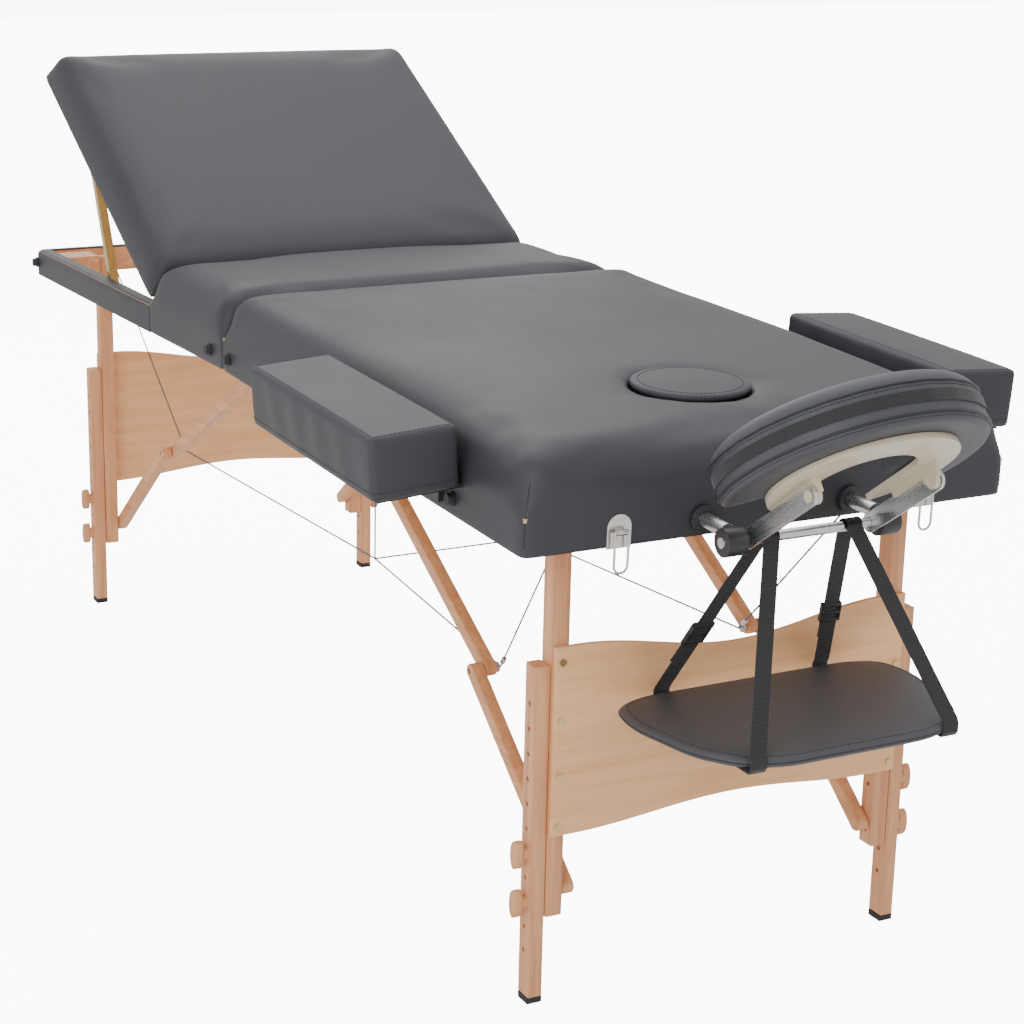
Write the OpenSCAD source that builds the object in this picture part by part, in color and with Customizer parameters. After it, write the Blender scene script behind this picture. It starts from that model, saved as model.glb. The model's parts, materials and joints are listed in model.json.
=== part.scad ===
// Portable massage table: two upholstered wooden halves hinged in the middle,
// folding legs with cable bracing, a raised backrest, a face cradle with an arm
// sling, and two slide-in armrests.
// +X points to the head end, +Y to the left, +Z up, origin on the floor under the middle of the box.

/* [Table] */
// Width over the upholstery
table_w = 680; // [600:10:760]
// Length of each half
half_l = 934; // [930:1:940]
// Height of the frame underside at the middle hinge
mid_h = 625; // [600:1:640]
// Upward arch of each half, in degrees
arch = 1.2; // [0.8:0.1:1.4]
// Height of the wooden frame rails
rail_h = 42; // [40:1:46]
// Total thickness of the head half
head_t = 120; // [112:1:126]
// Total thickness of the fixed strip
strip_t = 112; // [104:1:118]
// Length of the fixed strip on the foot half
strip_l = 318; // [300:1:330]

/* [Backrest] */
// Angle of the raised backrest
back_deg = 30; // [24:0.5:32]
// Thickness of the backrest with its board
back_t = 68; // [60:1:74]

/* [Legs] */
// Distance from the middle hinge to the leg pivots
leg_x = 845; // [843:1:847]
// Height of the leg pivots above the frame underside
leg_pivot_z = 27; // [26.5:0.5:27.5]
// Height of the underside of the upper legs
upper_leg_foot = 114; // [100:1:120]
// Height of the top of the lower legs
lower_leg_top = 442; // [430:1:460]
// Pitch of the height holes
hole_pitch = 32.3; // [30:0.1:34]
// Length of the lower braces between pivots
lower_brace_l = 318.6; // [318.2:0.1:320]

/* [Accessories] */
// Tilt of the face plate
face_deg = 36; // [30:1:38]
// Angle of the cradle arms
arm_deg = 35; // [32:0.5:38]
// Length of the armrest pads
armrest_l = 370; // [340:5:400]
// Outward droop of the armrest pads
armrest_droop = 4; // [0:0.5:5]

/* [Hidden] */
$fn = 48;

wood = [0.84, 0.66, 0.50];
ply = [0.88, 0.72, 0.53];
hide = [0.24, 0.25, 0.28];
black = [0.09, 0.09, 0.10];
steel = [0.75, 0.75, 0.76];
brass = [0.80, 0.65, 0.30];
beige = [0.85, 0.79, 0.66];

half_w = table_w / 2;
gap = 0.5;                       // half the gap between the two halves
wrap_t = 2.5;                    // leather wrap around the frames
rail_t = 20;                     // thickness of the frame rails
rail_y = half_w - wrap_t;        // outer face of the side rails
deck_t = 5;                      // plywood decks
deck_top = rail_h + deck_t;
pad_r = 34;                      // rounding of the pads' long top edges
hole_x = 730;                    // face hole
hole_r = 75;
mid_rail = 22;
mid_half = 185;                  // cross members keep between the folded braces

// Legs
leg_w = 26;
upper_y = [232, 256];
lower_y = [256.5, 277.5];
pin_r = 4;
fit = 0.05;                      // running clearance of the pins
foot_h = 9;
hole_top = 393;
bolt_holes = [6, 8];             // which holes the knobs use
knob_bolt_r = 3;
lower_pin_h = 145;               // pivot of the lower braces on the upper legs
panel_t = 8;
panel_z = [223, 466];
panel_dip = 27;
panel_rise = 15;
screw_z = [236, 301, 372, 447];

// Braces
brace_w = 20;
lower_brace_y = [213, 231];
upper_brace_y = [194, 212];
cleat_x = 48;
cleat_pin_z = 24;

// Leg linkage in the plane of the braces, [x, z] from the middle hinge
function local(x, z) = [x * cos(arch) + z * sin(arch), mid_h - x * sin(arch) + z * cos(arch)];
leg_pivot = local(leg_x, leg_pivot_z);
frame_pin = local(cleat_x, cleat_pin_z);
leg_pin = [leg_pivot[0], lower_pin_h];
// The braces lie flat along the frame when the leg is folded
folded_pin_x = leg_x - (leg_pivot[1] - lower_pin_h);
upper_brace_l = lower_brace_l + norm([folded_pin_x - cleat_x, leg_pivot_z - cleat_pin_z]);
span = norm(leg_pin - frame_pin);
along = (upper_brace_l ^ 2 - lower_brace_l ^ 2 + span ^ 2) / (2 * span);
rise = sqrt(upper_brace_l ^ 2 - along ^ 2);
dir = (leg_pin - frame_pin) / span;
knee = frame_pin + along * dir + rise * [-dir[1], dir[0]];

// Backrest in the foot half's own frame
back_hinge = [-strip_l - 3.5, rail_h + 4];
back_l = half_l - strip_l - 5;
board_t = 10;
bracket_at = 375;
bracket_drop = 30;
strut_foot = [-575, 12];
strut_top = back_hinge + bracket_at * [-cos(back_deg), sin(back_deg)]
    + bracket_drop * [-sin(back_deg), -cos(back_deg)];
strut_l = norm(strut_top - strut_foot);
strut_dir = atan2(strut_top[1] - strut_foot[1], strut_top[0] - strut_foot[0]);
strut_y = 309;

// Face cradle, pivots as [x, z] from the middle hinge
rod_y = 104;
rod_z = 22;
rod_r = 9;
rod_end = 988;
axle = local(1003, 14);
axle_r = 6.5;
arm_l = 144;
rivet = axle + arm_l * [cos(arm_deg), sin(arm_deg)];
arm_y = 86;
rivet_r = 4;
lug_h = 18;
plate_t = 7;
plate_r = 112;
pad_reach = 132;
pad_half_w = 158;
pad_t = 68;
shelf_z = 400;
shelf_t = 14;
sling_y = 58;

// Truss cables
rope_r = 1.25;
crimp_r = 3.5;
truss_node = [85, 133, 335];
eye = [leg_pivot[0], 224.5, leg_pivot[1]];

// Middle of the whole box along X
head_tip = rivet[0] + pad_reach * cos(face_deg) - (lug_h + plate_t + 0.5) * sin(face_deg);
catch_reach = 7;
foot_tip = -(half_l + catch_reach) * cos(arch) - 21 * sin(arch);
shift = -(head_tip + foot_tip) / 2;

// --- placing ---
module world() translate([shift, 0, 0]) children();
module head_at() translate([shift, 0, mid_h]) rotate([0, arch, 0]) children();
module foot_at() translate([shift, 0, mid_h]) rotate([0, -arch, 0]) children();
module at_end(end) translate([shift, 0, 0]) mirror([end == "foot" ? 1 : 0, 0, 0]) children();
module both_sides() for (s = [0, 1]) mirror([0, s, 0]) children();
module on_side(side) mirror([0, side == "right" ? 1 : 0, 0]) children();

// Box given by its two corners
module block(a, b) translate(a) cube(b - a);
// Cylinder along +Y from y0 to y1 at [x, z]
module pin(p, y0, y1, r) translate([p[0], y1, p[1]]) rotate([90, 0, 0]) cylinder(h = y1 - y0, r = r);
// Cylinder along X
module rod(x0, x1, y, z, r) translate([x0, y, z]) rotate([0, 90, 0]) cylinder(h = x1 - x0, r = r);
// Straight round bar between two points
module bar(a, b, r) {
    d = b - a;
    translate(a) rotate([0, acos(d[2] / norm(d)), atan2(d[1], d[0])]) cylinder(h = norm(d), r = r, $fn = 16);
}
// Flat bar with round ends between two pivots in the XZ plane
module link(a, b, ys, w, ra = pin_r + fit, rb = pin_r + fit) {
    d = b - a;
    l = norm(d);
    translate([a[0], ys[1], a[1]]) rotate([0, -atan2(d[1], d[0]), 0]) rotate([90, 0, 0])
        linear_extrude(ys[1] - ys[0]) difference() {
            union() {
                circle(w / 2);
                translate([l, 0]) circle(w / 2);
                polygon([[0, w * 0.499], [0, -w * 0.499], [l, -w * 0.499], [l, w * 0.499]]);
            }
            circle(ra);
            translate([l, 0]) circle(rb);
        }
}
// Pad with round long edges, running along X
module pad(x0, x1, w, z0, z1, r) {
    translate([x0, 0, 0]) rotate([90, 0, 90]) linear_extrude(x1 - x0) intersection() {
        translate([-w, z0]) square([2 * w, z1 - z0]);
        union() {
            translate([-w, z0]) square([2 * w, z1 - r - z0]);
            translate([-w + r, z0]) square([2 * (w - r), z1 - z0]);
            for (s = [-1, 1]) translate([s * (w - r), z1 - r]) circle(r);
        }
    }
}

// --- the two frames ---
corner_r = 20;
module rails(x0, x1, inner) intersection() {
    linear_extrude(100) union() {
        translate([x0, -rail_y]) square([x1 - x0 - corner_r, 2 * rail_y]);
        translate([x0, -rail_y + corner_r]) square([x1 - x0, 2 * (rail_y - corner_r)]);
        for (s = [-1, 1]) translate([x1 - corner_r, s * (rail_y - corner_r)]) circle(corner_r);
    }
    rail_boxes(x0, x1, inner);
}
module rail_boxes(x0, x1, inner) {
    both_sides() block([x0, rail_y - rail_t, 0], [x1, rail_y, rail_h]);
    block([x1 - rail_t, -rail_y, 0], [x1, rail_y, rail_h]);
    block([x0, -rail_y, 0], [x0 + mid_rail, rail_y, rail_h]);
    if (inner > 0) {
        block([inner, -mid_half, 18], [inner + rail_t, mid_half, rail_h]);
        both_sides() block([inner, 290, 0], [inner + rail_t, rail_y, rail_h]);
    }
}
module leg_blocks() both_sides() {
    block([leg_x - 20, upper_y[1] + 1, 4], [leg_x + 40, rail_y - rail_t, rail_h]);
    block([cleat_x - 16, lower_brace_y[0], 12], [cleat_x + 16, lower_brace_y[1], rail_h]);
}
module leg_block_bores() both_sides() {
    pin([leg_x, leg_pivot_z], upper_y[1], rail_y - rail_t - 10, pin_r + fit);
    pin([cleat_x, cleat_pin_z], lower_brace_y[0] - 1, lower_brace_y[1] + 1, pin_r + fit);
}
peg_x = [500, 710];
peg_z = 24;
peg_r = 6;
module peg_bores() both_sides() for (x = peg_x)
    pin([x, peg_z], rail_y - rail_t - 1, half_w + 1, peg_r + fit);

module head_frame() color(wood) head_at() difference() {
    union() {
        rails(gap, half_l - wrap_t, 0);
        leg_blocks();
        // short cross members under the face hole
        for (x = [hole_x - 110, hole_x + 90])
            block([x, -mid_half, rail_h - 8], [x + 20, mid_half, rail_h]);
    }
    leg_block_bores();
    peg_bores();
    both_sides() rod(half_l - 40, half_l + 1, rod_y, rod_z, 12 + fit);
}
module head_deck() color(ply) head_at() difference() {
    block([gap, -rail_y, rail_h], [half_l - wrap_t, rail_y, deck_top]);
    translate([hole_x, 0, rail_h - 1]) cylinder(h = deck_t + 2, r = hole_r, $fn = 96);
}
module head_cushion() color(hide) head_at() difference() {
    pad(gap, half_l, half_w, deck_top, head_t, pad_r);
    translate([hole_x, 0, deck_top - 1]) cylinder(h = head_t, r = hole_r, $fn = 96);
}
module wrap_walls() {
    both_sides() block([gap, rail_y, 0], [half_l, half_w, deck_top]);
    block([half_l - wrap_t, -rail_y, 0], [half_l, rail_y, deck_top]);
}
module head_wrap() color(hide) head_at() difference() {
    wrap_walls();
    peg_bores();
    both_sides() rod(half_l - 5, half_l + 1, rod_y, rod_z, 12 + fit);
}
module rod_sockets() color(black) head_at() both_sides() difference() {
    union() {
        rod(half_l - 62, half_l, rod_y, rod_z, 12);
        rod(half_l, half_l + 6, rod_y, rod_z, 17);
    }
    rod(half_l - 63, half_l + 7, rod_y, rod_z, rod_r + fit);
}
module face_plug() color(hide) head_at() translate([hole_x, 0, deck_top])
    cylinder(h = head_t + 12 - deck_top, r = hole_r - 1.5, $fn = 96);

// --- latches that hold the folded halves shut ---
latch_y = 216;
barrel = [half_l + 8, 20];
wire_r = 1.6;
module latch_plates() color(steel) head_at() both_sides() {
    block([half_l, latch_y - 16, -1], [half_l + 1.5, latch_y + 16, 24]);
    translate([half_l, latch_y, 24]) rotate([0, 90, 0]) cylinder(h = 1.5, r = 16);
    difference() {
        union() {
            block([half_l + 1, latch_y - 4, barrel[1] - 3], [barrel[0], latch_y + 4, barrel[1] + 3]);
            pin(barrel, latch_y - 7, latch_y + 7, 3.5);
        }
        pin(barrel, latch_y - 8, latch_y + 8, wire_r + fit);
    }
}
// Wire loop whose turned-in ends sit in the barrel of its plate
module bail(side) color(steel) head_at() on_side(side) translate([barrel[0], latch_y, barrel[1]]) {
    for (s = [-1, 1]) {
        translate([0, s * 9, -40]) cylinder(h = 40, r = wire_r);
        translate([0, s * 9, 0]) sphere(wire_r);
        pin([0, 0], min(s * 9, s * 3), max(s * 9, s * 3), wire_r);
    }
    translate([0, 0, -40]) rotate([90, 0, -90]) rotate([0, 0, 180])
        rotate_extrude(angle = 180) translate([9, 0]) circle(wire_r);
}
module latch_bail_left() bail("left");
module latch_bail_right() bail("right");
module latch_catches() color(steel) foot_at() both_sides() {
    block([-half_l - 1.5, latch_y - 13, 2], [-half_l, latch_y + 13, 30]);
    block([-half_l - catch_reach, latch_y - 8, 18], [-half_l - 1.5, latch_y + 8, 21]);
}

// --- middle hinge ---
hinge_pin = [0, mid_h - 4];
hinge_y = [-250, 0, 250];
module hinge_leaf() for (y = hinge_y) block([gap, y - 35, -2], [30, y + 35, 0]);
module knuckle(y0, y1) difference() {
    world() pin(hinge_pin, y0, y1, 3.6);
    world() pin(hinge_pin, y0 - 1, y1 + 1, 1.5 + fit);
}
module head_hinge_leaves() color(steel) {
    head_at() difference() {
        hinge_leaf();
        for (y = hinge_y) block([-1, y - 12.5, -3], [5, y + 12.5, 1]);
    }
    for (y = hinge_y) {
        knuckle(y - 35, y - 12.5);
        knuckle(y + 12.5, y + 35);
        world() pin(hinge_pin, y - 36, y + 36, 1.5);
    }
}
module foot_hinge_leaves() color(steel) {
    foot_at() mirror([1, 0, 0]) difference() {
        hinge_leaf();
        for (y = hinge_y) for (s = [-1, 1])
            translate([-1, y + s * 24 - 12, -3]) cube([6, 24, 4]);
    }
    for (y = hinge_y) knuckle(y - 11.5, y + 11.5);
}

// --- rubber bumpers on the side that the folded case stands on ---
module bumper(x, z) translate([x, -half_w, z]) rotate([90, 0, 0]) {
    cylinder(h = 3, r = 9);
    translate([0, 0, 3]) cylinder(h = 6, r = 7);
}
module head_bumpers() color(black) head_at() for (x = [26, 758]) bumper(x, 22);
module foot_bumpers() color(black) foot_at() for (x = [-48, -half_l + 12]) bumper(x, 22);

// --- carry handles on the other side ---
function arc_pts(l, h, n) = [for (i = [0:n]) [l * i / n, h * sin(180 * i / n)]];
module handle_band() translate([180, half_w, 10]) linear_extrude(24) difference() {
    polygon(concat([[-25, 0], [-25, 3]], [for (p = arc_pts(150, 30, 20)) p + [0, 3]],
        [[175, 3], [175, 0]]));
    polygon(concat(arc_pts(150, 30, 20), [[150, -1], [0, -1]]));
}
module head_carry_handle() color(black) head_at() handle_band();
module foot_carry_handle() color(black) foot_at() mirror([1, 0, 0]) handle_band();

// --- foot half ---
module foot_frame() color(wood) foot_at() mirror([1, 0, 0]) difference() {
    union() {
        rails(gap, half_l - wrap_t, strip_l - rail_t);
        leg_blocks();
        block([gap, -rail_y, rail_h], [strip_l, rail_y, deck_top]);
    }
    leg_block_bores();
    both_sides() pin([-strut_foot[0], strut_foot[1]], strut_y - 1, rail_y - 8, pin_r + fit);
}
module strip_cushion() color(hide) foot_at() mirror([1, 0, 0])
    pad(gap, strip_l, half_w, deck_top, strip_t, pad_r);
// The open part of the base is wrapped over its top as well
module foot_wrap() color(hide) foot_at() mirror([1, 0, 0]) {
    both_sides() {
        block([gap, rail_y, 0], [half_l, half_w, rail_h]);
        block([gap, rail_y, rail_h], [strip_l, half_w, deck_top]);
        block([strip_l + 1, rail_y - rail_t, rail_h], [half_l, half_w, rail_h + wrap_t]);
    }
    block([half_l - wrap_t, -rail_y, 0], [half_l, rail_y, rail_h]);
    block([half_l - wrap_t - rail_t, -rail_y + rail_t, rail_h], [half_l, rail_y - rail_t, rail_h + wrap_t]);
}

// --- backrest, drawn flat from its hinge towards -X, then raised ---
module raised() foot_at() translate([back_hinge[0], 0, back_hinge[1]])
    rotate([0, back_deg, 0]) children();
module backrest_board() color(ply) raised() difference() {
    block([-back_l, -half_w + 8, 0], [-14, half_w - 8, board_t]);
    both_sides() for (x = [-60, -back_l + 60]) translate([x, half_w - 40, -1]) cylinder(h = 4, r = 2);
}
module backrest_cushion() color(hide) raised() intersection() {
    pad(-back_l, 0, half_w - 8, board_t, back_t, pad_r);
    // the end at the hinge leans back so that it clears the strip when raised
    translate([0, half_w, 0]) rotate([90, 0, 0]) linear_extrude(table_w)
        polygon([[-back_l, board_t], [-14, board_t], [-back_t * tan(back_deg) - 4, back_t], [-back_l, back_t]]);
}
back_hinge_y = [-140, 0, 140];
module backrest_hinges() color(steel) foot_at() for (y = back_hinge_y) {
    pin(back_hinge, y - 30, y + 30, 3);
    block([back_hinge[0] - 0.5, y - 30, rail_h - 20], [-strip_l, y + 30, rail_h + 3]);
}
module strut_brackets() color(black) raised() both_sides() difference() {
    union() {
        block([-bracket_at - 22, strut_y - 14, -2], [-bracket_at + 22, strut_y + 8, 0]);
        block([-bracket_at - 9, strut_y - 11, -bracket_drop], [-bracket_at + 9, strut_y - 8, -2]);
        pin([-bracket_at, -bracket_drop], strut_y - 11, strut_y - 8, 9);
    }
    pin([-bracket_at, -bracket_drop], strut_y - 12, strut_y - 7, 3 + fit);
}
// U-section ratchet stays with notches along one edge
module support_struts() foot_at() both_sides() {
    translate([strut_foot[0], 0, strut_foot[1]]) rotate([0, -strut_dir, 0]) {
        color(brass) difference() {
            block([-8, strut_y - 7, -7], [strut_l, strut_y + 7, 7]);
            block([-9, strut_y - 5, -5], [strut_l + 1, strut_y + 5, 8]);
            for (i = [0:6]) block([60 + 20 * i, strut_y - 8, 3], [66 + 20 * i, strut_y - 4, 8]);
            pin([0, 0], strut_y - 8, strut_y + 8, pin_r + fit);
        }
        color(black) block([strut_l, strut_y - 7.5, -7.5], [strut_l + 14, strut_y + 7.5, 7.5]);
    }
    color(steel) pin(strut_foot, strut_y - 9, rail_y - 9, pin_r);
}

// --- legs, drawn for the head end and mirrored for the foot end ---
module upper_legs(end) color(wood) at_end(end) both_sides() difference() {
    union() {
        block([leg_pivot[0] - leg_w / 2, upper_y[0], upper_leg_foot],
            [leg_pivot[0] + leg_w / 2, upper_y[1], leg_pivot[1]]);
        pin(leg_pivot, upper_y[0], upper_y[1], leg_w / 2);
    }
    pin(leg_pivot, upper_y[0] - 1, upper_y[1] + 1, pin_r + fit);
    pin(leg_pin, upper_y[0] - 1, upper_y[1] + 1, pin_r + fit);
    for (i = bolt_holes) pin([leg_pivot[0], hole_top - hole_pitch * i], upper_y[0] - 1, upper_y[1] + 1, knob_bolt_r + 0.3);
}
panel_x = leg_pivot[0] + leg_w / 2;
function panel_wave(y) = 0.5 + 0.5 * cos(180 * min(1, abs(y) / 225));
module end_panel(end) color(ply) at_end(end) difference() {
    translate([panel_x, 0, 0]) rotate([90, 0, 90]) linear_extrude(panel_t) polygon(concat(
        [for (y = [-255:10:255]) [y, panel_z[1] - panel_dip * panel_wave(y)]],
        [for (y = [255:-10:-255]) [y, panel_z[0] + panel_rise * panel_wave(y)]]));
    both_sides() for (z = screw_z) rod(panel_x - 1, panel_x + panel_t + 1, 246, z, 2 + fit);
}
module leg_screws(end) color(steel) at_end(end) both_sides() {
    for (z = screw_z) {
        rod(panel_x + panel_t, panel_x + panel_t + 2.2, 246, z, 4.5);
        rod(panel_x + 0.2, panel_x + panel_t + 1, 246, z, 2);
    }
    pin(leg_pivot, upper_y[0] - 5, rail_y - rail_t - 12, pin_r);
    pin(leg_pivot, upper_y[0] - 5, upper_y[0] - 0.5, 7);
    pin(leg_pin, lower_brace_y[0], upper_y[1] - 1, pin_r);
}
module lower_leg(end, side) color(wood) at_end(end) on_side(side) difference() {
    block([leg_pivot[0] - leg_w / 2, lower_y[0], foot_h], [leg_pivot[0] + leg_w / 2, lower_y[1], lower_leg_top]);
    for (i = [0:10]) pin([leg_pivot[0], hole_top - hole_pitch * i], lower_y[0] - 1, lower_y[1] + 1, knob_bolt_r + fit);
}
module rubber_foot(end, side) color(black) at_end(end) on_side(side)
    block([leg_pivot[0] - leg_w / 2, lower_y[0], 0], [leg_pivot[0] + leg_w / 2, lower_y[1], foot_h]);
module leg_knobs(end, side) color(wood) at_end(end) on_side(side) for (i = bolt_holes) {
    p = [leg_pivot[0], hole_top - hole_pitch * i];
    pin(p, lower_y[1] + 0.5, lower_y[1] + 6, 9);
    pin(p, lower_y[0] + 0.5, lower_y[1] + 1, knob_bolt_r);
    for (z = [-9, 9]) pin(p + [0, z], lower_y[1] + 5, lower_y[1] + 19, 8);
    block([p[0] - 8, lower_y[1] + 5, p[1] - 9], [p[0] + 8, lower_y[1] + 19, p[1] + 9]);
}
module upper_braces(end) color(wood) at_end(end) both_sides() link(frame_pin, knee, upper_brace_y, brace_w);
module lower_braces(end) color(wood) at_end(end) both_sides() link(knee, leg_pin, lower_brace_y, brace_w);
// The knee bolts stop short of the lower braces
module brace_bolts(end) color(steel) at_end(end) both_sides() {
    pin(frame_pin, upper_brace_y[0] - 5, lower_brace_y[1] - 1, pin_r);
    pin(frame_pin, upper_brace_y[0] - 5, upper_brace_y[0] - 0.6, 7);
    pin(knee, upper_brace_y[0] - 5, upper_brace_y[1], pin_r);
    pin(knee, upper_brace_y[0] - 5, upper_brace_y[0] - 0.6, 7);
}
module head_upper_legs() upper_legs("head");
module foot_upper_legs() upper_legs("foot");
module head_end_panel() end_panel("head");
module foot_end_panel() end_panel("foot");
module head_leg_screws() leg_screws("head");
module foot_leg_screws() leg_screws("foot");
module head_left_lower_leg() lower_leg("head", "left");
module head_right_lower_leg() lower_leg("head", "right");
module foot_left_lower_leg() lower_leg("foot", "left");
module foot_right_lower_leg() lower_leg("foot", "right");
module head_left_foot() rubber_foot("head", "left");
module head_right_foot() rubber_foot("head", "right");
module foot_left_foot() rubber_foot("foot", "left");
module foot_right_foot() rubber_foot("foot", "right");
module head_left_knobs() leg_knobs("head", "left");
module head_right_knobs() leg_knobs("head", "right");
module foot_left_knobs() leg_knobs("foot", "left");
module foot_right_knobs() leg_knobs("foot", "right");
module head_upper_braces() upper_braces("head");
module foot_upper_braces() upper_braces("foot");
module head_lower_braces() lower_braces("head");
module foot_lower_braces() lower_braces("foot");
module head_brace_bolts() brace_bolts("head");
module foot_brace_bolts() brace_bolts("foot");

// --- steel cables that brace the legs under the table ---
module truss_cables() color(steel) world() {
    eye_in = upper_brace_y[0] - 9;
    deck_eye = [truss_node[0], truss_node[1], mid_h + rail_h - 6];
    both_sides() {
        for (s = [-1, 1]) {
            knee_eye = [s * knee[0], eye_in, knee[1]];
            bar(knee_eye, truss_node, rope_r);
            bar(knee_eye, [s * eye[0], eye[1], eye[2]], rope_r);
            translate(knee_eye) sphere(crimp_r);
        }
        bar(truss_node, deck_eye, rope_r);
        translate(truss_node) sphere(crimp_r);
    }
    bar([truss_node[0], -truss_node[1], truss_node[2]], truss_node, rope_r);
}

// --- face cradle ---
module cradle_bars() color(steel) {
    head_at() both_sides() rod(half_l - 60, rod_end, rod_y, rod_z, rod_r);
    world() pin(axle, -rod_y - 18, rod_y + 18, axle_r);
}
module cradle_knobs() color(black) world() both_sides() difference() {
    pin(axle, rod_y - 10, rod_y + 16, 17);
    pin(axle, rod_y - 11, rod_y + 17, axle_r);
    translate([-shift, 0, 0]) head_at() rod(half_l, rod_end, rod_y, rod_z, rod_r);
}
module cradle_arms() color(steel) world() both_sides()
    link(axle, rivet, [arm_y - 2, arm_y + 2], 24, axle_r + fit, rivet_r + fit);
module plate_at() world() translate([rivet[0], 0, rivet[1]]) rotate([0, -face_deg, 0])
    translate([0, 0, lug_h]) children();
module horseshoe(r, reach, back, inner, front) difference() {
    intersection() {
        translate([reach - r, 0]) circle(r, $fn = 96);
        translate([back, -r]) square([reach - back, 2 * r]);
    }
    translate([reach - front - inner, 0]) circle(inner);
    translate([back - 1, -inner]) square([reach - front - inner - back + 1, 2 * inner]);
}
module face_plate() color(beige) plate_at() {
    linear_extrude(plate_t) horseshoe(plate_r, 98, -104, 62, 48);
    both_sides() {
        block([-14, arm_y - 9, -lug_h], [14, arm_y - 3, 0]);
        block([-75, arm_y - 9, -10], [-14, arm_y - 3, 0]);
        pin([0, -lug_h], arm_y - 9, arm_y - 3, 10);
        pin([0, -lug_h], arm_y - 4, arm_y + 4, rivet_r);
        pin([0, -lug_h], arm_y + 2.5, arm_y + 4.5, 7);
    }
}
module face_cushion() color(hide) plate_at() translate([0, 0, plate_t + 0.5])
    linear_extrude(pad_t) horseshoe(pad_half_w, pad_reach, -120, 60, 92);

// --- arm sling ---
// Half outline of the shelf, from the middle of its back edge round to its front
shelf_half = [[-115, 0], [-115, 150], [-98, 195], [-43, 205], [57, 185], [107, 150], [125, 100], [129, 0]];
module shelf_outline() polygon(concat(shelf_half,
    [for (i = [len(shelf_half) - 2:-1:1]) [shelf_half[i][0], -shelf_half[i][1]]]));
strap_front = [104, 134];
strap_back = [-108, 116];
module strap(x, y) {
    foot = [axle[0] + x, y, shelf_z];
    head = [axle[0] + sign(x) * 3, sling_y, axle[1] - 14];
    hull() for (p = [foot, head]) translate(p) cube([2, 20, 2], center = true);
}
module sling_straps() color(black) world() both_sides() {
    difference() {
        pin(axle, sling_y - 10, sling_y + 10, axle_r + 3);
        pin(axle, sling_y - 11, sling_y + 11, axle_r + 0.6);
    }
    strap(strap_front[0], strap_front[1]);
    strap(strap_back[0], strap_back[1]);
    translate([axle[0], sling_y, axle[1] - 11]) cube([9, 20, 7], center = true);
}
module arm_shelf() color(hide) world() translate([axle[0], 0, shelf_z - shelf_t - 1])
    linear_extrude(shelf_t) shelf_outline();

// --- armrests ---
armrest_x = 425;
armrest_z = 42;
armrest_h = 82;
armrest_w = 112;
armrest_board = 4;
module drooping(side) head_at() on_side(side)
    translate([armrest_x, half_w + 14, armrest_z + armrest_h]) rotate([-armrest_droop, 0, 0])
        translate([0, 0, -armrest_h]) children();
module armrest(side) color(hide) drooping(side)
    translate([0, 0, armrest_board]) cube([armrest_l, armrest_w, armrest_h - armrest_board]);
// Board under the pad, with the two pegs that slide into the table
module armrest_mounts(side) color(black) {
    drooping(side) translate([12, -8, 0]) cube([armrest_l - 24, armrest_w - 2, armrest_board]);
    head_at() on_side(side) {
        block([armrest_x + 40, half_w + 1, peg_z - 13], [armrest_x + armrest_l - 62, half_w + 7, armrest_z + 3]);
        for (x = peg_x) pin([x, peg_z], rail_y - rail_t - 12, half_w + 2, peg_r);
    }
}
module armrest_left() armrest("left");
module armrest_right() armrest("right");
module armrest_mounts_left() armrest_mounts("left");
module armrest_mounts_right() armrest_mounts("right");

head_frame();
head_deck();
head_cushion();
head_wrap();
rod_sockets();
latch_plates();
latch_bail_left();
latch_bail_right();
head_hinge_leaves();
head_bumpers();
head_carry_handle();
face_plug();
foot_frame();
strip_cushion();
foot_wrap();
foot_hinge_leaves();
latch_catches();
foot_bumpers();
foot_carry_handle();
backrest_board();
backrest_cushion();
backrest_hinges();
strut_brackets();
support_struts();
head_upper_legs();
head_end_panel();
head_leg_screws();
foot_upper_legs();
foot_end_panel();
foot_leg_screws();
head_left_lower_leg();
head_right_lower_leg();
foot_left_lower_leg();
foot_right_lower_leg();
head_left_foot();
head_right_foot();
foot_left_foot();
foot_right_foot();
head_left_knobs();
head_right_knobs();
foot_left_knobs();
foot_right_knobs();
head_upper_braces();
head_lower_braces();
head_brace_bolts();
foot_upper_braces();
foot_lower_braces();
foot_brace_bolts();
truss_cables();
cradle_bars();
cradle_knobs();
cradle_arms();
face_plate();
face_cushion();
sling_straps();
arm_shelf();
armrest_left();
armrest_right();
armrest_mounts_left();
armrest_mounts_right();
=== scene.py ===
import json
import math

import bmesh
import bpy
from mathutils import Matrix, Vector
from mathutils.bvhtree import BVHTree

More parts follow.
